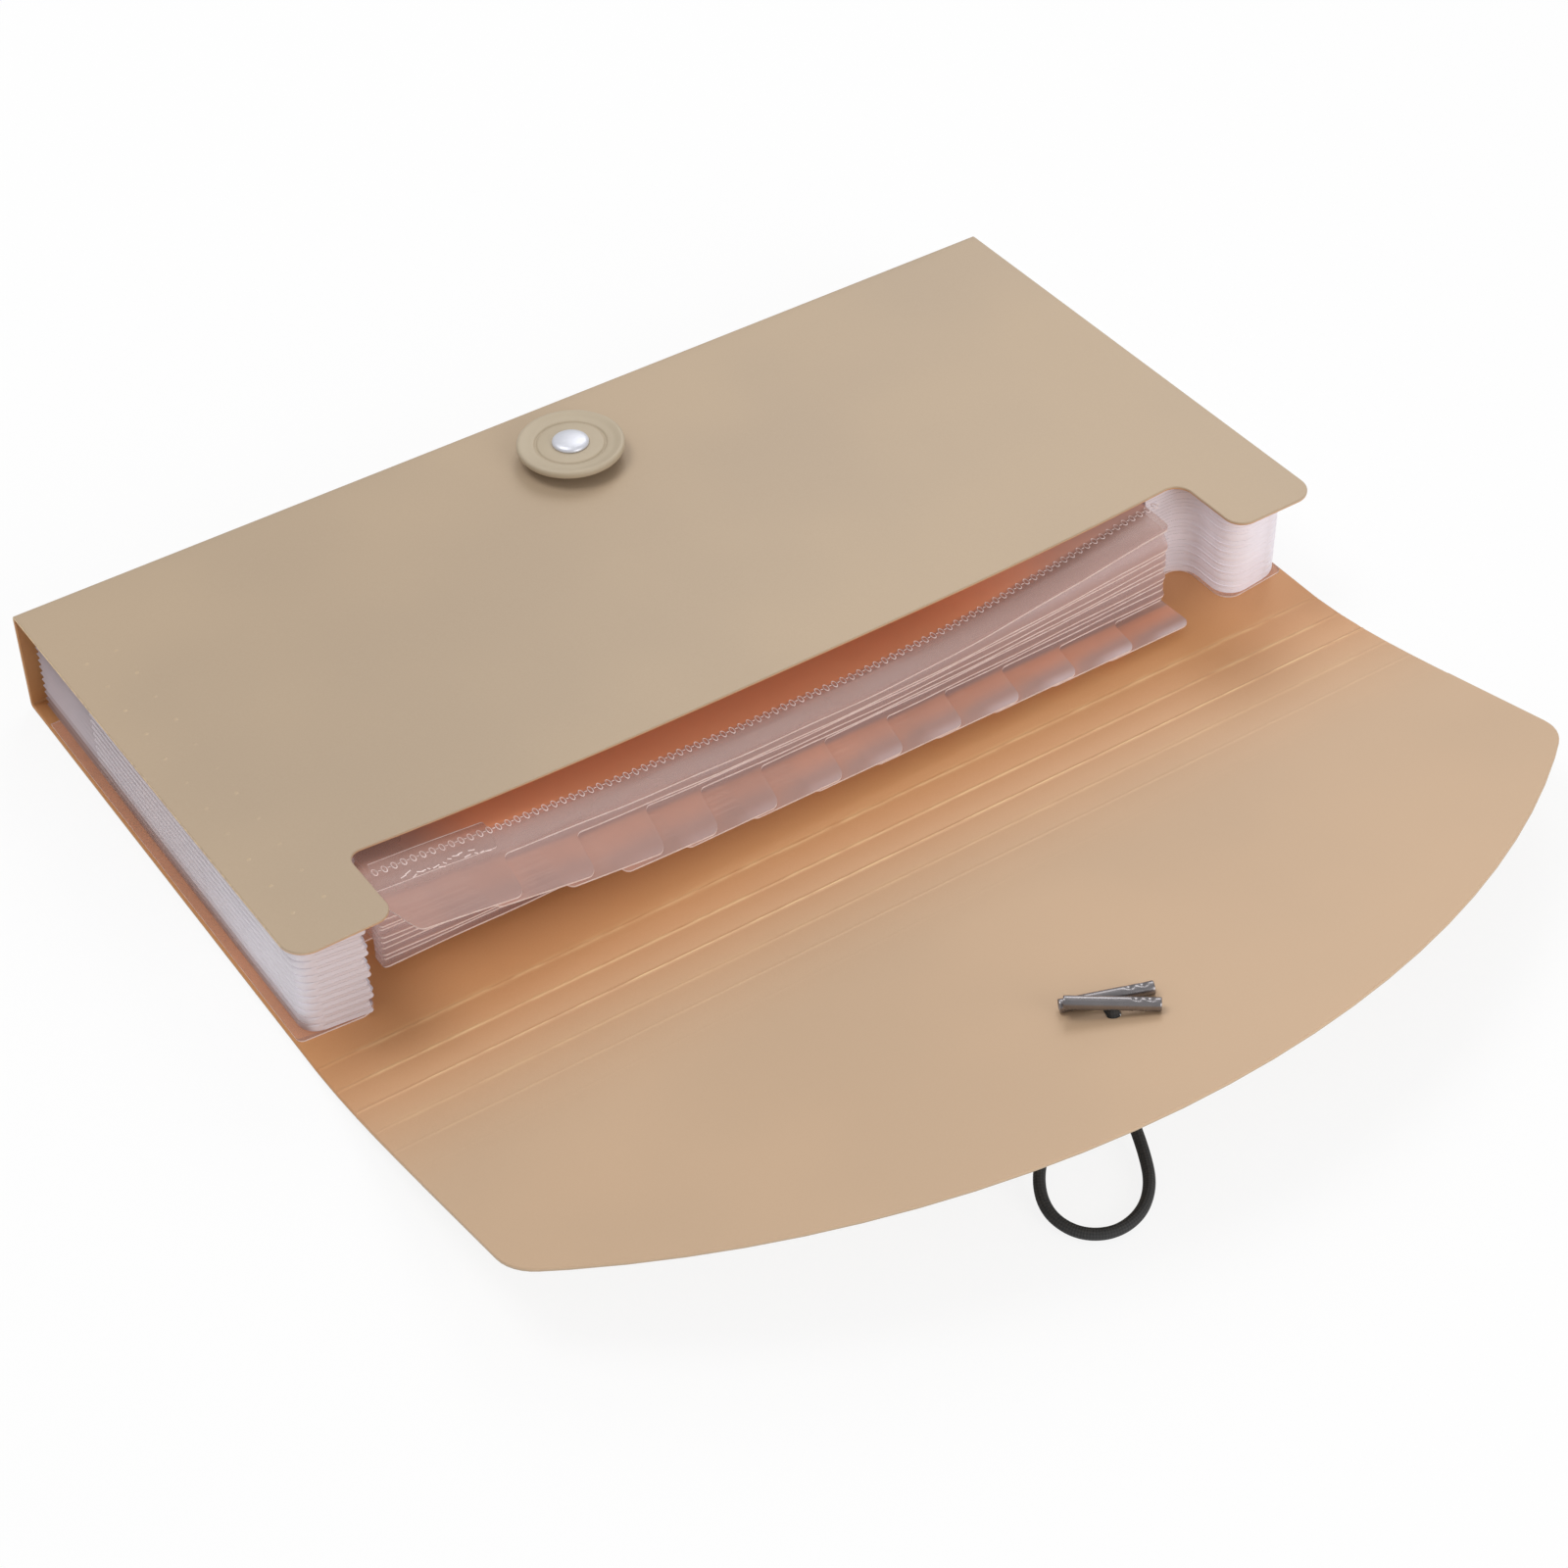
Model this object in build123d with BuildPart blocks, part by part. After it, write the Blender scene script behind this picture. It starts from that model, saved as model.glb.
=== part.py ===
"""Accordion file folder: a creased cover sheet with a closing flap, round a block of pleated pockets.

The folder lies open on its back cover. +X runs along the spine to the right, +Y from the mouth to the
spine, +Z up. The origin is the middle of the back cover's underside. All sizes are millimetres.
"""

import os
from math import atan2, cos, radians, sin, sqrt, tan

from build123d import *

# Cover sheet, which is one polypropylene sheet creased into its panels
cover_width = 260.0
cover_depth = 131.0
sheet = 0.8
spine_height = 26.4
mouth_height = 28.8
crease_gap = 0.2

# Thumb notch in the front cover, between its two ears
ear_width = 23.0
notch_depth = 18.0
ear_radius = 5.5
notch_lip_radius = 6.0
notch_root_radius = 7.0

# Flap, folded along parallel creases in front of the mouth
crease_setback = 3.8
crease_pitch = 8.0
crease_rest_angles = (4.4, 3.5, 2.6, 1.7, 0.8, 0.8)
flap_length = 86.1
flap_arc_radius = 203.0
flap_corner_radius = 11.0

# Pocket block of thin film: dividers between pleated gussets
pocket_count = 13
film = 0.25
fold_gap = 0.15
block_back_setback = 9.5
block_front_setback = 3.0
bottom_fold_depth = 5.6
gusset_inner_inset = 26.0
gusset_spine_inset = 5.4
panel_side_inset = 1.4
pocket_notch_setback = 1.5
pocket_ear_radius = 6.0
pleat_corner_cut = 4.0
sag_share = 0.26

# Index tabs, stepped from left to right down the block
strip_setback = 11.5
tab_setback = 2.0
tab_width = 22.5
tab_flare = 2.2
tab_first_inset = 12.0
tab_last_inset = 17.0
tab_corner_cut = 1.6
tab_droop_share = 0.15

# Button on the front cover, which the elastic loop hooks round
button_setback = 21.5
disc_diameter = 25.0
disc_thickness = 1.5
disc_rim_width = 2.6
disc_rim_height = 0.45
disc_edge_chamfer = 0.5
groove_radius = 8.1
groove_width = 1.1
groove_depth = 0.4
spacer_diameter = 10.5
spacer_height = 2.4
shank_diameter = 4.0
shank_clearance = 0.05
rivet_head_diameter = 8.6
rivet_head_height = 1.3
rivet_head_edge = 0.35
dome_width_share = 0.62
dome_rise_share = 0.8
washer_diameter = 8.0
washer_thickness = 0.5
rivet_tail_diameter = 5.6
rivet_tail_height = 0.5
panel_rivet_hole = 11.0

# Elastic loop, held in one hole of the flap by two crimped barbs
cord_diameter = 2.5
cord_sides = 6
cord_hole_diameter = 7.0
cord_hole_offset = -1.7
cord_hole_reach = 51.8
strand_across = 0.7
strand_out = 1.9
strand_drop = 4.0
barb_diameter = 2.8
barb_bore = 1.7
barb_length = 19.0
barb_gap = 0.1
front_barb_turn = 37.5
front_barb_lift = 6.5
rear_barb_turn = 25.4
crimp_diameter = 1.6
crimp_depth = 0.35
crimp_shares = (0.24, 0.38)
cord_route = [
    (-3.0, -165.4, 8.2),
    (-6.0, -172.0, 4.2),
    (-9.0, -180.5, 2.4),
    (-12.5, -187.0, 1.5),
    (-18.5, -191.6, 1.4),
    (-25.8, -192.4, 1.4),
    (-31.6, -188.4, 1.4),
    (-33.4, -181.2, 1.8),
    (-30.2, -174.0, 3.2),
    (-23.0, -168.2, 5.6),
    (-14.5, -163.8, 8.2),
    (-6.6, -161.2, 10.6),
]
bend_share = 0.45

overrun = 5.0

# Values worked out from the sizes above
mouth_y = -cover_depth / 2
spine_y = cover_depth / 2
cover_slope = atan2(mouth_height - spine_height, cover_depth)
front_normal = (0, sin(cover_slope), cos(cover_slope))
front_plane = Plane(origin=(0, spine_y, spine_height - sheet), x_dir=(1, 0, 0), z_dir=front_normal)
notch_half = cover_width / 2 - ear_width
gusset_inner_half = cover_width / 2 - gusset_inner_inset
block_back = spine_y - block_back_setback
block_front = mouth_y + block_front_setback
notch_back = mouth_y + notch_depth + pocket_notch_setback
strip_front = mouth_y + strip_setback
tab_front = mouth_y + tab_setback
divider_count = pocket_count - 1
divider_half = gusset_inner_half - fold_gap
sheet_stack = sheet + film + fold_gap + film / 2
tab_first_x = tab_first_inset - gusset_inner_half
tab_last_x = gusset_inner_half - tab_last_inset
tab_pitch = (tab_last_x - tab_first_x) / (divider_count - 1)

os.makedirs("parts", exist_ok=True)


def save(part, name):
    """Label one finished piece and write it."""
    part.label = name
    export_step(part, f"parts/{name}.step")


def level(k, y):
    """Height of the middle of the k-th film sheet, counted up from the back cover, at depth y."""
    reach = (spine_y - y) / cover_depth
    top = spine_height + (mouth_height - spine_height) * reach - sheet_stack
    return sheet_stack + (top - sheet_stack) * k / pocket_count


def notched_outline(half_width, front, back, notch_edge, ear_corner, lip_corner, root_corner):
    """A sheet with an ear at each side of a notch in its front edge."""
    with BuildSketch(mode=Mode.PRIVATE) as outline:
        with BuildLine():
            Polyline(
                (-half_width, back),
                (half_width, back),
                (half_width, front),
                (notch_half, front),
                (notch_half, notch_edge),
                (-notch_half, notch_edge),
                (-notch_half, front),
                (-half_width, front),
                close=True,
            )
        make_face()
        rows = outline.vertices().group_by(Axis.Y)
        ear_row = rows[0].sort_by(Axis.X)
        root_row = rows[1]
        fillet([ear_row[0], ear_row[-1]], ear_corner)
        fillet(root_row, root_corner)
        front_row = outline.vertices().group_by(Axis.Y)[0]
        fillet(front_row.sort_by(lambda v: abs(v.X))[:2], lip_corner)
    return outline.sketch


# Back cover and spine panel
with BuildPart() as back_cover:
    with BuildSketch():
        with Locations((0, (spine_y + mouth_y - crease_setback + crease_gap / 2) / 2)):
            Rectangle(cover_width, cover_depth + crease_setback - crease_gap / 2)
    extrude(amount=sheet)
save(back_cover.part, "back_cover")

with BuildPart() as spine_panel:
    with BuildSketch(Plane.XY.offset(sheet)):
        with Locations((0, spine_y - sheet / 2)):
            Rectangle(cover_width, sheet)
    extrude(amount=spine_height - 2 * sheet - crease_gap)
save(spine_panel.part, "spine_panel")

# Front cover, hinged on the spine panel's top edge
button_spot = (0, -button_setback)
with BuildPart() as front_cover:
    with BuildSketch(front_plane):
        add(
            notched_outline(
                cover_width / 2,
                -cover_depth,
                0,
                notch_depth - cover_depth,
                ear_radius,
                notch_lip_radius,
                notch_root_radius,
            )
        )
        with Locations(button_spot):
            Circle(shank_diameter / 2 + shank_clearance, mode=Mode.SUBTRACT)
    extrude(amount=sheet)
save(front_cover.part, "front_cover")

# Film panels welded to the inside of the two covers
with BuildPart() as back_pocket_panel:
    with BuildSketch(Plane.XY.offset(sheet)):
        add(
            notched_outline(
                cover_width / 2 - panel_side_inset,
                block_front,
                block_back,
                notch_back,
                pocket_ear_radius,
                notch_lip_radius,
                notch_root_radius,
            )
        )
    extrude(amount=film)
save(back_pocket_panel.part, "back_pocket_panel")

with BuildPart() as front_pocket_panel:
    with BuildSketch(front_plane):
        add(
            notched_outline(
                cover_width / 2 - panel_side_inset,
                block_front_setback - cover_depth,
                -block_back_setback,
                notch_depth + pocket_notch_setback - cover_depth,
                pocket_ear_radius,
                notch_lip_radius,
                notch_root_radius,
            )
        )
        with Locations(button_spot):
            Circle(panel_rivet_hole / 2, mode=Mode.SUBTRACT)
    extrude(amount=-film)
save(front_pocket_panel.part, "front_pocket_panel")

# Flap strips between the creases, each turned a little further up, and the flap panel
crease_points = [(mouth_y - crease_setback, sheet)]
strip_planes = []
turn = 0.0
for rest_angle in crease_rest_angles:
    turn += radians(rest_angle)
    crease_y, crease_z = crease_points[-1]
    under = (0, -sin(turn), -cos(turn))
    strip_planes.append(Plane(origin=(0, crease_y, crease_z), x_dir=(1, 0, 0), z_dir=under))
    crease_points.append((crease_y - crease_pitch * cos(turn), crease_z + crease_pitch * sin(turn)))
flap_plane = strip_planes.pop()

for number, strip_plane in enumerate(strip_planes, start=1):
    with BuildPart() as flap_strip:
        with BuildSketch(strip_plane):
            with Locations((0, crease_pitch / 2)):
                Rectangle(cover_width, crease_pitch - crease_gap)
        extrude(amount=sheet)
    save(flap_strip.part, f"flap_strip_{number}")

flap_side = flap_length - flap_arc_radius + sqrt(flap_arc_radius**2 - (cover_width / 2) ** 2)
with BuildPart() as flap_panel:
    with BuildSketch(flap_plane) as flap_outline:
        with BuildLine():
            Polyline(
                (-cover_width / 2, flap_side),
                (-cover_width / 2, crease_gap / 2),
                (cover_width / 2, crease_gap / 2),
                (cover_width / 2, flap_side),
            )
            ThreePointArc((cover_width / 2, flap_side), (0, flap_length), (-cover_width / 2, flap_side))
        make_face()
        fillet(flap_outline.vertices().group_by(Axis.Y)[-1], flap_corner_radius)
        with Locations((cord_hole_offset, cord_hole_reach)):
            Circle(cord_hole_diameter / 2, mode=Mode.SUBTRACT)
    extrude(amount=sheet)
save(flap_panel.part, "flap_panel")


# Dividers: film sheets that sag between their gussets towards the mouth, each with an index tab
def divider_section(y, side_height, sag):
    """The cut through a divider at depth y: a thin band, bowed down by sag in the middle."""
    with BuildSketch(Plane.XZ.offset(-y), mode=Mode.PRIVATE) as section:
        with BuildLine():
            ends = []
            for height in (side_height - film / 2, side_height + film / 2):
                left, right = (-divider_half, height), (divider_half, height)
                ends.append((left, right))
                ThreePointArc(left, (0, height - sag), right)
            (low_left, low_right), (high_left, high_right) = ends
            Line(low_left, high_left)
            Line(low_right, high_right)
        make_face()
    return section.sketch


def tab_outline(tab_x):
    """The divider seen from above: a sheet with one tapered tab on its front edge."""
    with BuildSketch(mode=Mode.PRIVATE) as outline:
        with BuildLine():
            Polyline(
                (-divider_half - overrun, block_back + overrun),
                (divider_half + overrun, block_back + overrun),
                (divider_half + overrun, strip_front),
                (tab_x + tab_width / 2 + tab_flare, strip_front),
                (tab_x + tab_width / 2, tab_front),
                (tab_x - tab_width / 2, tab_front),
                (tab_x - tab_width / 2 - tab_flare, strip_front),
                (-divider_half - overrun, strip_front),
                close=True,
            )
        make_face()
        chamfer(outline.vertices().group_by(Axis.Y)[0], tab_corner_cut)
    return outline.sketch


stations = [(block_back, 1), (strip_front, 1), (tab_front, 1 - tab_droop_share)]
for number in range(1, divider_count + 1):
    rank = pocket_count - number
    sections = []
    for y, stand_share in stations:
        rise = stand_share * (level(rank, y) - level(0, y))
        reach = (spine_y - y) / cover_depth
        sections.append(divider_section(y, level(0, y) + rise, sag_share * reach * rise))
    with BuildPart() as divider:
        with BuildSketch():
            add(tab_outline(tab_first_x + tab_pitch * (number - 1)))
        extrude(amount=mouth_height)
        loft(sections, ruled=True, mode=Mode.INTERSECT)
    save(divider.part, f"divider_{number:02d}")


# Side gussets: one pleat to each pocket, folded in at the dividers and out between them
def pleat_section(y, inner, outer):
    """The cut through a pleated film whose folds run from inner to outer, one pleat to each pocket."""
    run = outer - inner
    half = film / 2
    points = []
    for k in range(pocket_count):
        low, high = level(k, y), level(k + 1, y)
        middle = (low + high) / 2
        crotch = half * run / (middle - low)
        points.append((inner + crotch if k else inner, low if k else low - half))
        points.append((outer, middle - half))
        points.append((outer, middle + half))
    top = level(pocket_count, y)
    points.append((inner, top + half))
    points.append((inner, top - half))
    for k in reversed(range(pocket_count)):
        low, high = level(k, y), level(k + 1, y)
        middle = (low + high) / 2
        crotch = half * run / (middle - low)
        points.append((outer - crotch, middle))
        points.append((inner, low + half))
        if k:
            points.append((inner, low - half))
    return points


def pleated_film(near, far):
    """The film between two pleated cuts, one an exact enlargement of the other, so each fold is flat."""
    rims = list(zip(near, far))
    folds = [Face(Wire.make_polygon(near)), Face(Wire.make_polygon(far))]
    for (near_a, far_a), (near_b, far_b) in zip(rims, rims[1:] + rims[:1]):
        folds.append(Face(Wire.make_polygon([near_a, near_b, far_b, far_a])))
    return Solid(Shell(folds))


gusset_back = block_back - fold_gap
spine_edge = cover_width / 2 - gusset_spine_inset
spread = level(pocket_count, block_front) - level(0, block_front)
mouth_spread = spread / (level(pocket_count, gusset_back) - level(0, gusset_back))
mouth_edge = gusset_inner_half + (spine_edge - gusset_inner_half) * mouth_spread
film_edge = gusset_inner_half - pleat_corner_cut - overrun
with BuildPart() as right_gusset:
    with BuildSketch() as ear_outline:
        with BuildLine():
            Polyline(
                (film_edge, gusset_back + overrun),
                (spine_edge + fold_gap, gusset_back + overrun),
                (mouth_edge + fold_gap, block_front),
                (notch_half, block_front),
                (notch_half, notch_back),
                (film_edge, notch_back),
                close=True,
            )
        make_face()
        chamfer(ear_outline.vertices().group_by(Axis.Y)[0], pleat_corner_cut)
        chamfer(ear_outline.vertices().sort_by_distance((notch_half, notch_back))[0], pleat_corner_cut)
    extrude(amount=mouth_height + overrun)
    spine_folds = []
    mouth_folds = []
    for x, z in pleat_section(gusset_back, gusset_inner_half, spine_edge):
        mouth_x = gusset_inner_half + (x - gusset_inner_half) * mouth_spread
        mouth_z = sheet_stack + (z - sheet_stack) * mouth_spread
        spine_folds.append((x, gusset_back, z))
        mouth_folds.append((mouth_x, block_front, mouth_z))
    add(pleated_film(spine_folds, mouth_folds), mode=Mode.INTERSECT)
save(right_gusset.part, "right_gusset")

with BuildPart() as left_gusset:
    add(mirror(right_gusset.part, about=Plane.YZ))
save(left_gusset.part, "left_gusset")

# Bottom gusset: the pleats that close the pockets along the spine
with BuildPart() as bottom_gusset:
    with BuildSketch(Plane.YZ):
        with BuildLine():
            fold_edge = block_back + fold_gap
            Polyline(*pleat_section(fold_edge, fold_edge, block_back + bottom_fold_depth), close=True)
        make_face()
    extrude(amount=spine_edge, both=True)
save(bottom_gusset.part, "bottom_gusset")

# Button: a disc on a spacer, turning on a rivet through the front cover
button_base = front_plane.from_local_coords((0, -button_setback, sheet))
button_side = Plane(origin=button_base, x_dir=(1, 0, 0), z_dir=(0, -cos(cover_slope), sin(cover_slope)))
button_axis = Axis(button_base, front_normal)
shank_hole = shank_diameter / 2 + shank_clearance
disc_bottom = spacer_height + shank_clearance
disc_top = disc_bottom + disc_thickness
disc_radius = disc_diameter / 2

with BuildPart() as button_disc:
    with BuildSketch(button_side) as disc_profile:
        with BuildLine():
            Polyline(
                (shank_hole, disc_bottom),
                (disc_radius, disc_bottom),
                (disc_radius, disc_top + disc_rim_height),
                (disc_radius - disc_rim_width, disc_top),
                (groove_radius + groove_width / 2, disc_top),
                (groove_radius, disc_top - groove_depth),
                (groove_radius - groove_width / 2, disc_top),
                (shank_hole, disc_top),
                close=True,
            )
        make_face()
        chamfer(disc_profile.vertices().group_by(Axis.X)[-1], disc_edge_chamfer)
    revolve(axis=button_axis)
save(button_disc.part, "button_disc")

with BuildPart() as button_spacer:
    with BuildSketch(button_side):
        with BuildLine():
            Polyline(
                (shank_hole, 0),
                (spacer_diameter / 2, 0),
                (spacer_diameter / 2, spacer_height),
                (shank_hole, spacer_height),
                close=True,
            )
        make_face()
    revolve(axis=button_axis)
save(button_spacer.part, "button_spacer")

washer_top = -sheet
washer_bottom = washer_top - washer_thickness
head_seat = disc_top + shank_clearance
head_rim = (rivet_head_diameter / 2, head_seat + rivet_head_edge)
head_crown = (0, head_seat + rivet_head_height)
dome = rivet_head_height - rivet_head_edge
head_shoulder = (dome_width_share * rivet_head_diameter / 2, head_rim[1] + dome_rise_share * dome)
with BuildPart() as button_rivet:
    with BuildSketch(button_side):
        with BuildLine():
            Polyline(
                head_crown,
                (0, washer_bottom - rivet_tail_height),
                (rivet_tail_diameter / 2, washer_bottom - rivet_tail_height),
                (rivet_tail_diameter / 2, washer_bottom),
                (shank_diameter / 2, washer_bottom),
                (shank_diameter / 2, head_seat),
                (rivet_head_diameter / 2, head_seat),
                head_rim,
                head_shoulder,
                close=True,
            )
        make_face()
    revolve(axis=button_axis)
save(button_rivet.part, "button_rivet")

with BuildPart() as rivet_washer:
    with BuildSketch(button_side):
        with BuildLine():
            Polyline(
                (shank_diameter / 2, washer_top),
                (washer_diameter / 2, washer_top),
                (washer_diameter / 2, washer_bottom),
                (shank_diameter / 2, washer_bottom),
                close=True,
            )
        make_face()
    revolve(axis=button_axis)
save(rivet_washer.part, "rivet_washer")

# Barbs: crimped steel tubes that lie on the flap's inner face and hold the loop's two ends
rest_lift = barb_diameter / 2 + barb_gap
front_middle_lift = rest_lift + barb_length / 2 * sin(radians(front_barb_lift))
strand_spots = [
    (cord_hole_offset - strand_across, cord_hole_reach + strand_out, front_middle_lift),
    (cord_hole_offset + strand_across, cord_hole_reach - strand_out, rest_lift),
]
barb_turns = [(front_barb_turn, front_barb_lift), (rear_barb_turn, 0.0)]

for name, spot, (barb_turn, barb_lift) in zip(("front_barb", "rear_barb"), strand_spots, barb_turns):
    across, out, up = spot
    heading = Vector(
        cos(radians(barb_turn)) * cos(radians(barb_lift)),
        sin(radians(barb_turn)) * cos(radians(barb_lift)),
        sin(radians(barb_lift)),
    )
    middle = flap_plane.from_local_coords((across, out, -up))
    tip = flap_plane.from_local_coords((across + heading.X, out + heading.Y, -up + heading.Z))
    direction = (tip - middle).normalized()
    barb_plane = Plane(origin=middle, x_dir=direction.cross(flap_plane.z_dir), z_dir=direction)
    with BuildPart() as barb:
        with BuildSketch(barb_plane.offset(-barb_length / 2)):
            Circle(barb_diameter / 2)
            Circle(barb_bore / 2, mode=Mode.SUBTRACT)
        extrude(amount=barb_length)
        for share in crimp_shares:
            crimp_seat = middle + direction * (share * barb_length)
            crimp_floor = crimp_seat - flap_plane.z_dir * (barb_diameter / 2 - crimp_depth)
            with BuildSketch(Plane(origin=crimp_floor, z_dir=-flap_plane.z_dir)):
                Circle(crimp_diameter / 2)
            extrude(amount=overrun, mode=Mode.SUBTRACT)
    save(barb.part, name)


# Elastic loop: up through the flap's hole at both ends, its bight lying on the floor
def strand_end(spot):
    """Where one end of the loop sits in its barb, and where it points below the flap."""
    across, out, up = spot
    return [flap_plane.from_local_coords((across, out, depth)) for depth in (-up, sheet + strand_drop)]


first_end, last_end = [strand_end(spot) for spot in strand_spots]
route = first_end + [Vector(*point) for point in cord_route] + last_end[::-1]
runs = [b - a for a, b in zip(route[:-1], route[1:])]
turns = [a.get_angle(b) for a, b in zip(runs[:-1], runs[1:])]
radii = []
for before, after, bend in zip(runs[:-1], runs[1:], turns):
    radii.append(bend_share * min(before.length, after.length) / tan(radians(bend) / 2))
print("elastic loop runs:", [round(run.length, 1) for run in runs])
print("elastic loop turns:", [round(bend) for bend in turns])
print("elastic loop radii:", [round(radius, 1) for radius in radii])

with BuildPart() as elastic_loop:
    with BuildLine() as loop_line:
        FilletPolyline(*route, radius=radii)
    loop_path = loop_line.wire()
    with BuildSketch(Plane(origin=loop_path @ 0, z_dir=loop_path % 0)):
        RegularPolygon(cord_diameter / 2, cord_sides)
    sweep(path=loop_path)
print("elastic loop length:", round(loop_path.length, 1))
save(elastic_loop.part, "elastic_loop")
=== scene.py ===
import math
import random
from dataclasses import dataclass

import bmesh
import bpy
from mathutils import Matrix, Vector
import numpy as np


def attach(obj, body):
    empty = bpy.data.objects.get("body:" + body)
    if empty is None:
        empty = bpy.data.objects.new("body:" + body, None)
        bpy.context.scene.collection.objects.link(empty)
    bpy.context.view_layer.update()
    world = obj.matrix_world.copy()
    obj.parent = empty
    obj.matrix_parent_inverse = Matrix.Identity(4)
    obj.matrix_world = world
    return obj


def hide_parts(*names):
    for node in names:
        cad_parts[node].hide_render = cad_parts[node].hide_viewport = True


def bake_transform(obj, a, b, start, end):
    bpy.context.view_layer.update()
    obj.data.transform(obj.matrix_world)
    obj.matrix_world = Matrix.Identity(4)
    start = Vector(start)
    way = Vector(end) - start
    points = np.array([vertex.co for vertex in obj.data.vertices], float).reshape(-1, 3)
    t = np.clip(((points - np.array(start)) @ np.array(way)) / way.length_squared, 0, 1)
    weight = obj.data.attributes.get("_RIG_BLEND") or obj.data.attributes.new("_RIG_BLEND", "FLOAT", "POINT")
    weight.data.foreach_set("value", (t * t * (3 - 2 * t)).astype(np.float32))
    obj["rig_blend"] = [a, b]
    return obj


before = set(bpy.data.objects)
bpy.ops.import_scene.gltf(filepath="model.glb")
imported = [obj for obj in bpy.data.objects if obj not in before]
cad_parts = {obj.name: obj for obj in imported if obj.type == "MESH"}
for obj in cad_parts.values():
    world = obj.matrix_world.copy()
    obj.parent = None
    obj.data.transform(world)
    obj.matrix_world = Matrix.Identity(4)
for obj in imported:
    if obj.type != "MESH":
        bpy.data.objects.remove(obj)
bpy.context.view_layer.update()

# Sizes are millimetres until a mesh is finished, in the frame of the CAD model.
MM = 0.001
HALF_WIDTH = 130.0
SPINE_Y, MOUTH_Y = 65.5, -65.5
DEPTH = SPINE_Y - MOUTH_Y
SPINE_HEIGHT, MOUTH_HEIGHT = 26.4, 28.8
SHEET, FILM = 0.8, 0.25
SHEET_BEVEL = 0.16
COVER_SLOPE = math.atan2(MOUTH_HEIGHT - SPINE_HEIGHT, DEPTH)
SHEET_STACK = 1.325
POCKETS = 13

NOTCH_HALF, NOTCH_DEPTH, NOTCH_BOW = 107.0, 18.0, 2.7
EAR_CORNER = 5.5
FOLD_REACH, FOLD_BEND, FOLD_END = 1.29, 0.9, -0.927
SPINE_TOP = 24.3

BLOCK_BACK, BLOCK_END = 56.0, 61.5
FOLD_X = 104.0
DIVIDER_HALF = 103.85
NOTCH_BACK, STRIP_FRONT, TAB_FRONT = -46.0, -54.0, -63.5
STRIP_LEFT, STRIP_RIGHT, STRIP_BACK = -106.0, 97.4, -42.0
DROOP_START = STRIP_FRONT + 3

CREASE_SETBACK, CREASE_PITCH = 3.8, 8.0
CREASE_ANGLES = (4.4, 3.5, 2.6, 1.7, 0.8, 0.8)
FLAP_LENGTH, FLAP_ARC, FLAP_CORNER = 86.1, 203.0, 11.0
CORD_HOLE_X, CORD_HOLE_REACH = -1.7, 51.8
STRAND_OFFSET = (-0.7, 1.9)
BUTTON_REACH = 21.5

# Numbers that the film's meshes carry for its material: opacity, painted see-through colour and shade, and
# painted glow.
FILM_LOOKS = ("frost", "tint", "glow")


# Shading: expressions on values become Math nodes, and every other node comes from Finish.node.
class Value:
    """A socket that varies over a surface."""

    def __init__(self, finish, socket):
        self.finish, self.socket = finish, socket

    def math(self, operation, *terms):
        return self.finish.node("ShaderNodeMath", {"operation": operation}, dict(enumerate(terms)))

    def __add__(self, other):
        return self.math("ADD", self, other)

    def __sub__(self, other):
        return self.math("SUBTRACT", self, other)

    def __mul__(self, other):
        return self.math("MULTIPLY", self, other)

    __radd__, __rmul__ = __add__, __mul__

    def sine(self):
        return self.math("SINE", self)

    def between(self, low, high):
        """0 below low, 1 above high and a smooth rise between them."""
        settings = {"interpolation_type": "SMOOTHSTEP"}
        inputs = {"Value": self, "From Min": low, "From Max": high}
        return self.finish.node("ShaderNodeMapRange", settings, inputs)


class Finish:
    """A procedural material."""

    def __init__(self, name):
        self.material = bpy.data.materials.new(name)
        self.material.use_nodes = True
        self.tree = self.material.node_tree
        self.tree.nodes.clear()

    def node(self, kind, settings, inputs, output=0):
        made = self.tree.nodes.new(kind)
        for key, setting in settings.items():
            setattr(made, key, setting)
        for key, given in inputs.items():
            if isinstance(given, Value):
                self.tree.links.new(given.socket, made.inputs[key])
            else:
                made.inputs[key].default_value = given
        return Value(self, made.outputs[output]) if made.outputs else None

    def place(self, stretch=(1, 1, 1)):
        """Where a point lies on its piece, in metres, stretched along the axes."""
        at = self.node("ShaderNodeTexCoord", {}, {}, "Object")
        return self.node("ShaderNodeVectorMath", {"operation": "MULTIPLY"}, {0: at, 1: stretch})

    def noise(self, at, scale, detail=3.0):
        inputs = {"Vector": at, "Scale": scale, "Detail": detail}
        return self.node("ShaderNodeTexNoise", {}, inputs, "Fac")

    def painted(self, name):
        """A number that the mesh carries at its vertices."""
        return self.node("ShaderNodeAttribute", {"attribute_name": name}, {}, "Fac")

    def mix(self, share, first, second):
        return self.node("ShaderNodeMix", {"data_type": "RGBA"}, {0: share, 6: first, 7: second}, 2)

    def bump(self, height, strength, distance):
        inputs = {"Height": height, "Strength": strength, "Distance": distance}
        return self.node("ShaderNodeBump", {}, inputs, "Normal")

    def surface(self, inputs):
        shader = self.node("ShaderNodeBsdfPrincipled", {}, inputs, "BSDF")
        self.node("ShaderNodeOutputMaterial", {}, {"Surface": shader})
        return self.material


def shade(red, green, blue):
    """A colour as it shows on a screen, 0 to 255, in the linear form that shaders take."""
    linear = []
    for part in (red, green, blue):
        part /= 255
        linear.append(part / 12.92 if part <= 0.04045 else ((part + 0.055) / 1.055) ** 2.4)
    return (*linear, 1.0)


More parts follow.
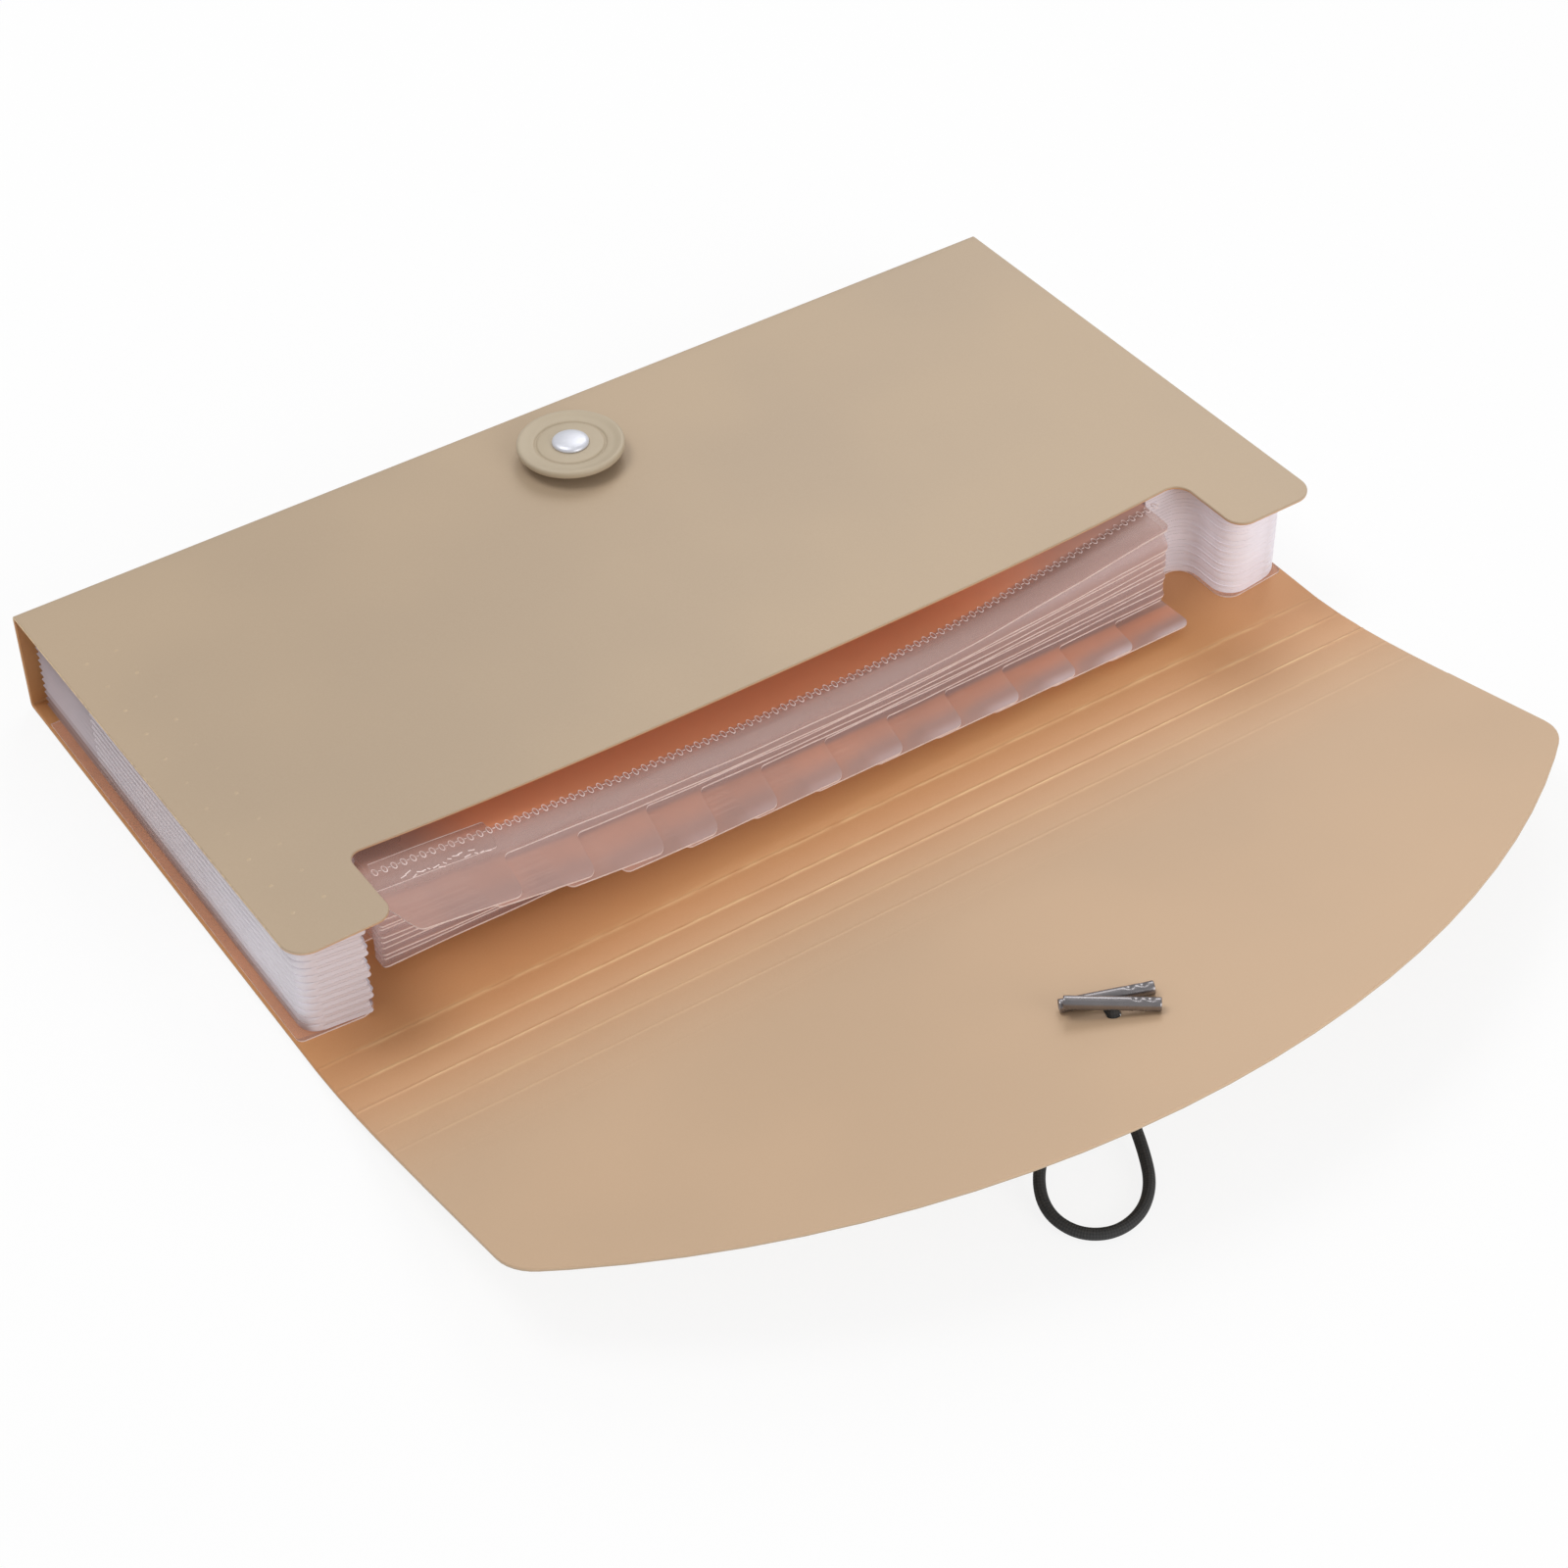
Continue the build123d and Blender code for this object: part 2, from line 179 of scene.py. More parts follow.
def cover_plastic():
    """Satin pearl plastic, with a painted highlight along its creases and its left edge.

    Its painted number runs from -1 on the outer face, a little darker, to about 1 deep inside the folder,
    where painted warm light and shade turn it orange.
    """
    f = Finish("cover_plastic")
    at = f.place()
    cloud = f.noise(at, 14.0, 2.0)
    grain = f.noise(at, 2600.0, 2.0)
    warmth = f.painted("warmth") + (cloud - 0.5) * 0.1
    ridge = f.painted("ridge") * f.noise(f.place((1, 6, 6)), 160.0, 3.0).between(0.25, 0.7)
    outside = f.mix(cloud.between(0.3, 0.7), shade(173, 152, 128), shade(180, 158, 132))
    inside = f.mix(cloud.between(0.3, 0.7), shade(196, 167, 137), shade(203, 173, 142))
    # The outer face is a little darker than the inner; deep inside, a warm orange is painted warm light and
    # shade.
    base = f.mix(warmth + 1.0, outside, inside)
    base = f.mix(warmth, base, shade(196, 135, 80))
    base = f.mix(grain * 0.07, base, shade(238, 222, 196))
    # Painted highlight: a pale yellow along the creases and the left edge.
    base = f.mix(ridge, base, shade(244, 214, 160))
    return f.surface({
        "Base Color": base,
        "Roughness": 0.4 + cloud * 0.08 + grain * 0.05,
        "Metallic": 0.12,
        "Normal": f.bump(grain, 0.12, 0.00006),
    })


def clear_film():
    """Thin film, painted with its frost, its see-through colour and shade, and a glow of painted light for
    the light that it lets through.

    The see-through number is how warm the sheet behind makes the film look, with painted shade: a darker
    pink in the stack, and an orange of painted warm light and shade deep inside.
    """
    f = Finish("clear_film")
    at = f.place()
    haze = f.noise(at, 60.0, 3.0)
    wrinkle = f.noise(f.place((1, 0.35, 1)), 240.0, 3.0)
    tint = f.painted("tint") + (haze - 0.5) * 0.12
    milky = f.mix(haze, shade(219, 212, 220), shade(233, 229, 236))
    pink = f.mix(haze, shade(165, 134, 126), shade(173, 142, 134))
    # Milky at 0, a darker pink of painted shade at 0.5, and an orange of painted warm light and shade at 1.
    base = f.mix(tint.between(0.0, 0.5), milky, pink)
    base = f.mix(tint.between(0.5, 1.0), base, shade(232, 157, 117))
    return f.surface({
        "Base Color": base,
        "Roughness": 0.3 + haze * 0.16,
        "Alpha": f.painted("frost") * (0.85 + haze * 0.3),
        # Painted light: a glow in the film's own colour, as strong as its painted glow number.
        "Emission Color": f.mix(f.painted("glow"), (0, 0, 0, 1), base),
        "Emission Strength": 1.0,
        "Normal": f.bump(wrinkle, 0.06, 0.0003),
    })


def film_edge():
    """Cut edges and welds of the film, where it turns bright, and the bars of painted reflection in front of
    the welds.
    """
    f = Finish("film_edge")
    speck = f.noise(f.place(), 420.0, 2.0)
    return f.surface({
        "Base Color": f.mix(speck, shade(226, 204, 198), shade(242, 230, 228)),
        "Roughness": 0.3 + speck * 0.2,
        "Alpha": 0.66 + speck * 0.3,
    })


def button_plastic():
    f = Finish("button_plastic")
    at = f.place()
    cloud = f.noise(at, 90.0, 2.0)
    grain = f.noise(at, 3200.0, 2.0)
    return f.surface({
        "Base Color": f.mix(cloud, shade(176, 161, 138), shade(184, 169, 145)),
        "Roughness": 0.42 + grain * 0.12,
        "Normal": f.bump(grain, 0.1, 0.00005),
    })


def rivet_metal():
    f = Finish("rivet_metal")
    brushed = f.noise(f.place((1, 9, 9)), 700.0, 3.0)
    return f.surface({
        "Base Color": f.mix(brushed, shade(206, 208, 217), shade(222, 223, 230)),
        "Roughness": 0.3 + brushed * 0.14,
        "Metallic": 0.35,
        "Normal": f.bump(brushed, 0.06, 0.00004),
    })


def barb_steel():
    f = Finish("barb_steel")
    at = f.place()
    drawn = f.noise(f.place((1, 1, 5)), 900.0, 3.0)
    stain = f.noise(at, 160.0, 2.0)
    return f.surface({
        "Base Color": f.mix(stain, shade(112, 108, 110), shade(162, 158, 160)),
        "Roughness": 0.22 + drawn * 0.14,
        "Metallic": 0.95,
        "Normal": f.bump(drawn, 0.05, 0.00005),
    })


def elastic_braid():
    """Braided sleeve of an elastic cord, with crossing yarns along it."""
    f = Finish("elastic_braid")
    wrap = f.node("ShaderNodeTexCoord", {}, {}, "UV")
    along, around = (f.node("ShaderNodeSeparateXYZ", {}, {"Vector": wrap}, axis) for axis in "XY")
    crossings, yarns = 560.0, 37.7
    one_way = (along * crossings + around * yarns).sine()
    other_way = (along * crossings - around * yarns).sine()
    yarn = one_way * other_way * 0.5 + 0.5
    fuzz = f.noise(f.place(), 1500.0, 3.0)
    return f.surface({
        "Base Color": f.mix(yarn * 0.6 + fuzz * 0.4, shade(36, 36, 37), shade(66, 66, 66)),
        "Roughness": 0.8 + fuzz * 0.15,
        "Normal": f.bump(yarn + fuzz * 0.5, 0.5, 0.00015),
    })


COVER, CLEAR, EDGE = cover_plastic(), clear_film(), film_edge()
BUTTON, RIVET, STEEL, BRAID = button_plastic(), rivet_metal(), barb_steel(), elastic_braid()


# Shapes
def level(k, y):
    """Height of the k-th film sheet, counted up from the back cover, at depth y."""
    top = SPINE_HEIGHT + (MOUTH_HEIGHT - SPINE_HEIGHT) * (SPINE_Y - y) / DEPTH - SHEET_STACK
    return SHEET_STACK + (top - SHEET_STACK) * k / POCKETS


def ease(t):
    t = min(1.0, max(0.0, t))
    return t * t * (3 - 2 * t)


def inverse_ease(share):
    """How far along an ease reaches the given share."""
    return 0.5 - math.sin(math.asin(1 - 2 * share) / 3)


def bell(t):
    return math.exp(-(t**2))


def on_front(across, reach, height):
    """A point of the front cover, by its reach from the spine and height over the inner face."""
    sin, cos = math.sin(COVER_SLOPE), math.cos(COVER_SLOPE)
    y = SPINE_Y - reach * cos + height * sin
    return Vector((across, y, SPINE_HEIGHT - SHEET + reach * sin + height * cos))


def on_cover(across, reach, height):
    """A point of the front cover, or of the fold that bends it into the spine at its back end."""
    if reach >= FOLD_REACH:
        return on_front(across, reach, height)
    turn = min((FOLD_REACH - reach) / FOLD_BEND, math.pi / 2 - COVER_SLOPE)
    drop = FOLD_REACH - reach - turn * FOLD_BEND
    spot = on_front(across, FOLD_REACH, SHEET / 2 - FOLD_BEND)
    out = Vector((0, math.sin(COVER_SLOPE + turn), math.cos(COVER_SLOPE + turn)))
    return spot + out * (FOLD_BEND + height - SHEET / 2) - Vector((0, 0, drop))


def crease_line():
    """Where the creases lie in side view, and the slope of the sheet after each of them."""
    spots, slopes = [Vector((MOUTH_Y - CREASE_SETBACK, SHEET))], [0.0]
    for angle in CREASE_ANGLES:
        slopes.append(slopes[-1] + math.radians(angle))
        step = Vector((-math.cos(slopes[-1]), math.sin(slopes[-1])))
        spots.append(spots[-1] + step * CREASE_PITCH)
    return spots[:-1], slopes


CREASES, SLOPES = crease_line()


def on_flap(across, out, height):
    """A point of the flap, by its reach from the last crease and its height over the inner face."""
    sin, cos = math.sin(SLOPES[-1]), math.cos(SLOPES[-1])
    y, z = CREASES[-1]
    return Vector((across, y - out * cos + height * sin, z + out * sin + height * cos))


def rounded(corners):
    """An outline with rounded corners, each given as x, y and its radius."""
    largest_step = 0.16
    points = []
    for i, (x, y, radius) in enumerate(corners):
        here = Vector((x, y))
        back = (Vector(corners[i - 1][:2]) - here).normalized()
        ahead = (Vector(corners[(i + 1) % len(corners)][:2]) - here).normalized()
        if not radius:
            points.append(here)
            continue
        angle = back.angle(ahead)
        centre = here + (back + ahead).normalized() * radius / math.sin(angle / 2)
        start = here + back * radius / math.tan(angle / 2) - centre
        end = here + ahead * radius / math.tan(angle / 2) - centre
        sweep = math.atan2(start.x * end.y - start.y * end.x, start.dot(end))
        steps = max(2, math.ceil(abs(sweep) / largest_step))
        for step in range(steps + 1):
            points.append(centre + Matrix.Rotation(sweep * step / steps, 2) @ start)
    return points


def circle(x, y, radius, steps=32):
    turns = [2 * math.pi * i / steps for i in range(steps)]
    return [Vector((x + radius * math.cos(t), y + radius * math.sin(t))) for t in turns]


def slot_hole(x, y, length, radius):
    """A slot that two strands of the loop fill, lying along the line between them."""
    along = Vector(STRAND_OFFSET).normalized()
    ends = [Vector((x, y)) + along * length / 2 * sign for sign in (-1, 1)]
    return [ends[offset.dot(along) > 0] + offset for offset in circle(0, 0, radius)]


def pulled_in(outline, inset, flush):
    """An outline moved inwards for a bevel, except at a flush edge.

    An outline runs anticlockwise, and a hole clockwise.
    """
    least_lean = 0.4
    moved = []
    for i, here in enumerate(outline):
        before = (here - outline[i - 1]).normalized()
        after = (outline[(i + 1) % len(outline)] - here).normalized()
        inward = Vector((-before.y - after.y, before.x + after.x)).normalized()
        lean = max(least_lean, inward.dot(Vector((-before.y, before.x))))
        spot = here + inward * inset / lean
        moved.append(Vector((spot.x, flush)) if here.y == flush else spot)
    return moved


def plate(outlines, low, high, bevel=0.0, cuts=(), flush=None):
    """A flat plate between two heights, cut across so that it can bend.

    Each cut is an axis and a place on it. The rim takes the second material.
    """
    bm = bmesh.new()
    rims = [(low, 0), (high, 0)]
    if bevel:
        rims = [(low, bevel), (low + bevel, 0), (high - bevel, 0), (high, bevel)]
    borders = {rims[0]: [], rims[-1]: []}
    for outline in outlines:
        rings = []
        for height, inset in rims:
            spots = pulled_in(outline, inset, flush)
            rings.append([bm.verts.new((*spot, height)) for spot in spots])
        for under, over in zip(rings, rings[1:]):
            for i in range(len(outline)):
                bm.faces.new((under[i - 1], under[i], over[i], over[i - 1])).material_index = 1
        for rim, ring in ((rims[0], rings[0]), (rims[-1], rings[-1])):
            borders[rim] += [bm.edges.get((ring[i - 1], ring[i])) for i in range(len(ring))]
    for edges in borders.values():
        bmesh.ops.triangle_fill(bm, use_beauty=True, edges=edges)
    for axis, spot in cuts:
        normal = Vector((axis == "x", axis == "y", 0))
        plane = {"plane_co": normal * spot, "plane_no": normal, "dist": 1e-4}
        bmesh.ops.bisect_plane(bm, geom=bm.verts[:] + bm.edges[:] + bm.faces[:], **plane)
    return bm


def cover_run(inner, outer, warmth, ridges=None):
    """A run of cover sheet from side to side, from the lines of its two faces in side view."""
    bm = bmesh.new()
    warm = bm.verts.layers.float.new("warmth")
    bright = bm.verts.layers.float.new("ridge")
    rim, rim_thickness, fade_width = 0.3, 0.4, 14
    across = [-HALF_WIDTH, rim - HALF_WIDTH, *range(-120, 121, 10), HALF_WIDTH - rim, HALF_WIDTH]
    columns = []
    for x in across:
        thin = rim_thickness if abs(x) == HALF_WIDTH else 1.0
        fade = ease((HALF_WIDTH - abs(x)) / fade_width)
        column = []
        for i, (on_inner, on_outer) in enumerate(zip(inner, outer)):
            middle = (on_inner + on_outer) / 2
            spots = [middle + (spot - middle) * thin for spot in (on_inner, on_outer)]
            pair = [bm.verts.new((x, *spot)) for spot in spots]
            # Inner face: painted warm light and shade; outer face: the darker tone. Painted highlight along
            # the given line, fading near the sides.
            pair[0][warm], pair[1][warm] = warmth(on_inner.x), -1.0
            pair[0][bright] = ridges[i] * fade if ridges else 0.0
            column.append(pair)
        columns.append(column)
    for left, right in zip(columns, columns[1:]):
        for i in range(len(inner) - 1):
            (a, b), (c, d) = left[i], left[i + 1]
            (e, f), (g, h) = right[i], right[i + 1]
            bm.faces.new((a, c, g, e))
            bm.faces.new((b, f, h, d))
        for i in (0, -1):
            bm.faces.new((*left[i], *reversed(right[i])))
    for column in (columns[0], columns[-1]):
        for (a, b), (c, d) in zip(column, column[1:]):
            bm.faces.new((a, b, d, c))
    return bm


def lathe(profile, steps=96):
    """A turned shape round +Z, from a closed profile of radius and height."""
    bm = bmesh.new()
    rings = []
    for radius, height in profile:
        if radius == 0:
            rings.append([bm.verts.new((0, 0, height))] * steps)
        else:
            rings.append([bm.verts.new((*spot, height)) for spot in circle(0, 0, radius, steps)])
    for under, over in zip(rings, rings[1:] + rings[:1]):
        for i in range(steps):
            ring = list(dict.fromkeys((under[i - 1], under[i], over[i], over[i - 1])))
            if len(ring) > 2:
                bm.faces.new(ring)
    return bm


def film_grid(bm, sides):
    """A closed film between two grids, whose points each carry a place and the film's looks."""
    stored = bm.verts.layers.float
    layers = [stored.get(name) or stored.new(name) for name in FILM_LOOKS]
    grids = []
    for rows in sides:
        grid = []
        for row in rows:
            grid.append([bm.verts.new(spot) for spot, *_ in row])
            for vertex, (_, *numbers) in zip(grid[-1], row):
                for layer, number in zip(layers, numbers):
                    vertex[layer] = number
        grids.append(grid)
        for a, b in zip(grid, grid[1:]):
            for i in range(len(a) - 1):
                bm.faces.new((a[i], a[i + 1], b[i + 1], b[i]))
    end, last = len(sides[0]) - 1, len(sides[0][0]) - 1
    border = [(0, i) for i in range(last)] + [(j, last) for j in range(end)]
    border += [(end, i) for i in range(last, 0, -1)] + [(j, 0) for j in range(end, 0, -1)]
    for (j, i), (n, m) in zip(border, border[1:] + border[:1]):
        bm.faces.new((grids[0][j][i], grids[0][n][m], grids[1][n][m], grids[1][j][i]))


def finished(name, bm, materials, slot, sharp=32.0):
    """The mesh as an object of the scene, in metres, with its faces outward."""
    bmesh.ops.recalc_face_normals(bm, faces=bm.faces)
    if bm.calc_volume(signed=True) < 0:
        bmesh.ops.reverse_faces(bm, faces=bm.faces)
    mesh = bpy.data.meshes.new(name)
    bm.to_mesh(mesh)
    bm.free()
    mesh.transform(Matrix.Scale(MM, 4))
    mesh.polygons.foreach_set("use_smooth", [True] * len(mesh.polygons))
    mesh.set_sharp_from_angle(angle=math.radians(sharp))
    for material in materials:
        mesh.materials.append(material)
    piece = bpy.data.objects.new(name, mesh)
    piece.visible_shadow = slot != "film"
    bpy.context.scene.collection.objects.link(piece)
    return piece


def moved(bm, place):
    """Each point of the mesh put where place says."""
    for vertex in bm.verts:
        vertex.co = place(*vertex.co)
    return bm


def paint(bm, name, number):
    """Each vertex given the number that a rule works out from its place."""
    layer = bm.verts.layers.float.new(name)
    for vertex in bm.verts:
        vertex[layer] = number(vertex.co)
    return bm


def coat(bm, **numbers):
    """Every vertex given the same numbers."""
    for name, number in numbers.items():
        paint(bm, name, lambda spot: number)


def metres(*point):
    return [value * MM for value in point]


# Cover sheet
def folder_warmth(y):
    """How much painted warm light and shade the sheet's inner face takes: most inside the folder, least on
    the flap.
    """
    least, gain, start, length, power = 0.05, 0.9, -122.0, 62.0, 1.2
    return least + gain * ease((y - start) / length) ** power


def sheet_faces(line):
    """A sheet's inner and outer faces, from its middle line with the inner face on the left."""
    inner, outer = [], []
    for i, spot in enumerate(line):
        run = line[min(i + 1, len(line) - 1)] - line[max(i - 1, 0)]
        left = Vector((-run.y, run.x)).normalized() * SHEET / 2
        inner.append(spot + left)
        outer.append(spot - left)
    return inner, outer


def arc(centre, radius, first, last, steps=8):
    turns = [math.radians(first + (last - first) * i / steps) for i in range(steps + 1)]
    return [centre + Vector((math.cos(t), math.sin(t))) * radius for t in turns]


def build_case_sheet():
    """Back cover and spine as one bent sheet."""
    middle = SHEET / 2
    front = CREASES[0].x + CREASE_PITCH / 2
    floor = [Vector((y, middle)) for y in (front, -40.0, 0.0, 40.0, 62.0)]
    corner = arc(Vector((SPINE_Y - middle - FOLD_BEND, middle + FOLD_BEND)), FOLD_BEND, -90, 0)
    inner, outer = sheet_faces(floor + corner + [Vector((SPINE_Y - middle, SPINE_TOP))])
    # Its inner face takes painted warm light and shade, and its outer face the darker tone.
    case_sheet = finished("case_sheet", cover_run(inner, outer, folder_warmth), [COVER], "cover")
    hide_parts("back_cover", "spine_panel")
    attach(case_sheet, "case")


def notch_reach(x):
    """How far from the spine the thumb notch's back edge lies, a little less towards its ends."""
    return DEPTH - NOTCH_DEPTH - NOTCH_BOW * abs(x / FOLD_X) ** 3


def build_front_cover():
    """Front cover with its thumb notch between two ears, and the fold to the spine."""
    root = notch_reach(NOTCH_HALF)
    corners = [(-HALF_WIDTH, FOLD_END, 0), (HALF_WIDTH, FOLD_END, 0)]
    corners += [(HALF_WIDTH, DEPTH, EAR_CORNER), (NOTCH_HALF, DEPTH, 4.5), (NOTCH_HALF, root, 4.0)]
    corners += [(x, notch_reach(x), 0) for x in range(95, -96, -10)]
    corners += [(-NOTCH_HALF, root, 3.0), (-NOTCH_HALF, DEPTH, 4.0)]
    corners += [(-HALF_WIDTH, DEPTH, EAR_CORNER)]
    bend = FOLD_BEND * (math.pi / 2 - COVER_SLOPE)
    cuts = [("y", FOLD_REACH - bend * i / 8) for i in range(9)]
    cuts += [("y", y) for y in (3, 30, 60, 90, 112)]
    bm = plate([rounded(corners)], 0, SHEET, bevel=SHEET_BEVEL, cuts=cuts, flush=FOLD_END)
    # Painted warm light and shade on the inner face, the darker tone on the outer face, and a painted
    # highlight along the left edge.
    paint(bm, "warmth", lambda spot: -1.0 if spot.z > SHEET / 2 else 0.9)
    paint(bm, "ridge", lambda spot: 0.6 if spot.x == -HALF_WIDTH else 0.0)
    cover = finished("front_cover_sheet", moved(bm, on_cover), [COVER, COVER], "cover")
    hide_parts("front_cover")
    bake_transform(cover, "case", "front", start=metres(0, 65.2, 24.8), end=metres(0, 64.2, 26.0))


def build_weld_marks():
    """Faint marks on the front cover, where the film behind it is welded on."""
    count, pitch, sway, sides = 11, 9.4, 0.5, 12
    bm = bmesh.new()
    for across, first in ((-116.4, -53.0), (-123.6, -53.6)):
        for i in range(count):
            x, y = across + sway * math.sin(3.1 * i), SPINE_Y - first - pitch * i
            centre = bm.verts.new((x, y, SHEET + 0.05))
            rings = []
            for radius, lift in ((0.35, 0.04), (0.65, -0.05)):
                spots = circle(x, y, radius, sides)
                rings.append([bm.verts.new((*spot, SHEET + lift)) for spot in spots])
            for j in range(sides):
                bm.faces.new((centre, rings[0][j - 1], rings[0][j]))
                bm.faces.new((rings[0][j - 1], rings[1][j - 1], rings[1][j], rings[0][j]))
            bm.faces.new(rings[1])
    # The darker outer tone, with a touch of the painted highlight colour that makes them paler.
    coat(bm, warmth=-1.0, ridge=0.13)
    marks = finished("weld_marks", moved(bm, on_front), [COVER], "cover")
    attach(marks, "front")


# How strong each crease's painted highlight is, how wide its line and how much its bead swells.
CREASE_SHINE = (
    (0.3, 0.7, 0.6), (0.42, 0.45, 0.7), (0.75, 0.22, 1.0),
    (0.16, 0.8, 0.35), (0.12, 0.3, 0.3), (0.0, 0.3, 0.12),
)


def build_creases():
    """The strips round each crease, with the small bead that the creasing leaves and a painted highlight
    along it.
    """
    bodies = ["case", *(f"strip_{k}" for k in range(1, 6)), "flap"]
    half = CREASE_PITCH / 2
    along = [-half, -1.3, -0.8, -0.55, -0.35, -0.2, 0.0, 0.2, 0.35, 0.55, 0.8, 1.3, half]
    for k, (spot, (bright, width, swell)) in enumerate(zip(CREASES, CREASE_SHINE)):
        inner, outer, ridges = [], [], []
        for run in along:
            slope = SLOPES[k] if run < 0 else SLOPES[k + 1]
            on = Vector((-math.cos(slope), math.sin(slope))) * run
            if run == 0:
                slope = (SLOPES[k] + SLOPES[k + 1]) / 2
            up = Vector((math.sin(slope), math.cos(slope)))
            bead = 0.12 * bell(run / 0.26) - 0.04 * bell((abs(run) - 0.7) / 0.3)
            bead *= swell
            inner.append(spot + on + up * bead)
            outer.append(spot + on - up * (SHEET - 0.6 * max(bead, 0)))
            ridges.append(bright * bell(run / width))
        name = f"crease_{k + 1}"
        strip = finished(name, cover_run(inner, outer, folder_warmth, ridges), [COVER], "cover")
        turn = Vector((0, -math.cos(SLOPES[k]), math.sin(SLOPES[k]))) * 0.8
        middle = Vector((0, spot.x, spot.y))
        start, end = metres(*(middle - turn)), metres(*(middle + turn))
        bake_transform(strip, bodies[k], bodies[k + 1], start=start, end=end)
        if k:
            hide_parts(f"flap_strip_{k}")


def build_flap():
    """The flap past the last crease, with its curved front edge."""
    side = FLAP_LENGTH - FLAP_ARC + math.sqrt(FLAP_ARC**2 - HALF_WIDTH**2)
    reach = math.asin(HALF_WIDTH / FLAP_ARC)
    edge, steps = CREASE_PITCH / 2, 26
    corners = [(-HALF_WIDTH, side, FLAP_CORNER), (-HALF_WIDTH, edge, 0)]
    corners += [(HALF_WIDTH, edge, 0), (HALF_WIDTH, side, FLAP_CORNER)]
    for i in range(1, steps):
        turn = reach * (1 - 2 * i / steps)
        out = FLAP_LENGTH - FLAP_ARC + FLAP_ARC * math.cos(turn)
        corners.append((FLAP_ARC * math.sin(turn), out, 0))
    hole = slot_hole(CORD_HOLE_X, CORD_HOLE_REACH, length=4.05, radius=1.4)[::-1]
    cuts = [("y", y) for y in (5, 8, 12, 18, 26, 36)]
    bm = plate([rounded(corners), hole], -SHEET, 0, bevel=SHEET_BEVEL, cuts=cuts, flush=edge)

    # Painted warm light and shade on the inner face, the darker tone on the outer face.
    def warmth(spot):
        return folder_warmth(on_flap(*spot).y) if spot.z > -SHEET / 2 else -1.0

    paint(bm, "warmth", warmth)
    flap = finished("flap_sheet", moved(bm, on_flap), [COVER, COVER], "cover")
    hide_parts("flap_panel")
    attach(flap, "flap")


# Film pockets. Each tab's front edge has a height, a middle and a tilt, from the top divider down.
TAB_HEIGHTS = (17.35, 13.7, 10.35, 8.0, 7.0, 6.3, 5.7, 5.2, 4.7, 4.2, 3.75, 3.3)
TAB_MIDDLES = (-89.2, -72.2, -55.2, -41.8, -26.6, -9.8, 6.2, 22.1, 37.9, 53.7, 70.0, 86.0)
TAB_TILTS = (-0.15, -0.15, -0.1, -0.03, *[0.0] * 8)
TAB_HALF, TAB_FLARE = 12.1, 0.4


def tab_front(number):
    return TAB_FRONT + 0.08 * (number - 1)


def rightward(x):
    """0 left of the middle, and a smooth rise to 1 at the right end of the dividers."""
    return ease((x - 20) / 85)


def weld_line(x):
    """Where the row of welds runs: it nears the notch's edge towards the right."""
    return -49.5 + 3.6 * rightward(x)


def sheet_height(number, x, y):
    """Height of a divider before its tab droops: it sags between its sides, towards the mouth."""
    rise = level(POCKETS - number, y) - level(0, y)
    sag = 0.26 * (SPINE_Y - y) / DEPTH * rise * (1 - (x / DIVIDER_HALF) ** 2)
    right = rightward(x)
    lift = 0.052 * rise * right * ease((10 - y) / 55)
    bend = 3.2 * (rise / 24) ** 1.2 * ease((-50 - y) / 4) * (1 - right if number == 1 else 1)
    ripple = 0.12 * math.sin(0.21 * x + 1.7 * number) * ease((20 - y) / 60)
    return level(0, y) + rise - sag + lift - bend + ripple


def divider_height(number, x, y):
    """Height of a divider: its front strip droops until the tab's edge is at its own height."""
    middle, front = TAB_MIDDLES[number - 1], tab_front(number)
    aside = max(-TAB_HALF - TAB_FLARE, min(TAB_HALF + TAB_FLARE, x - middle))
    edge = TAB_HEIGHTS[number - 1] + TAB_TILTS[number - 1] * aside
    drop = sheet_height(number, middle + aside, front) - edge
    droop = max(0.0, (DROOP_START - y) / (DROOP_START - front))
    return sheet_height(number, x, y) - drop * droop**1.4


def divider_look(number, x, y):
    """Frost, painted see-through colour and shade, and painted glow of a divider: warm inside and on its
    tab, milky between them.
    """
    inside = ease((y - weld_line(x)) / 1.0)
    tab = ease((STRIP_FRONT + 1.2 - y) / 2.2)
    aside = (x - TAB_MIDDLES[number - 1]) / TAB_HALF
    corner = bell((y - tab_front(number)) / 3.4) * ease((aside + 0.9) / 1.5)
    strip = 0.54 if number == 1 else 0.38
    on_tab = 0.6 + 0.014 * number - (0.14 + 0.032 * number) * corner
    outside = strip + (on_tab - strip) * tab
    left, right = ease((-68 - x) / 32), ease((x - 30) / 65)
    # Inside, in the shade under the cover, the orange is painted warm light and shade, less towards both
    # ends.
    tint = outside + (1.0 - 0.42 * right - 0.4 * left - outside) * inside
    frost = 0.46 + 0.18 * tab + (0.28 - 0.3 * left) * inside
    # The glow is painted light that brightens the strips, and on the top divider the shaded gap at the
    # right.
    glow = 0.1 * left + (0.1 + 0.08 * right) * (1 - 0.55 * tab)
    if number == 1:
        glow = 0.4 * right * inside
    return frost, tint, glow


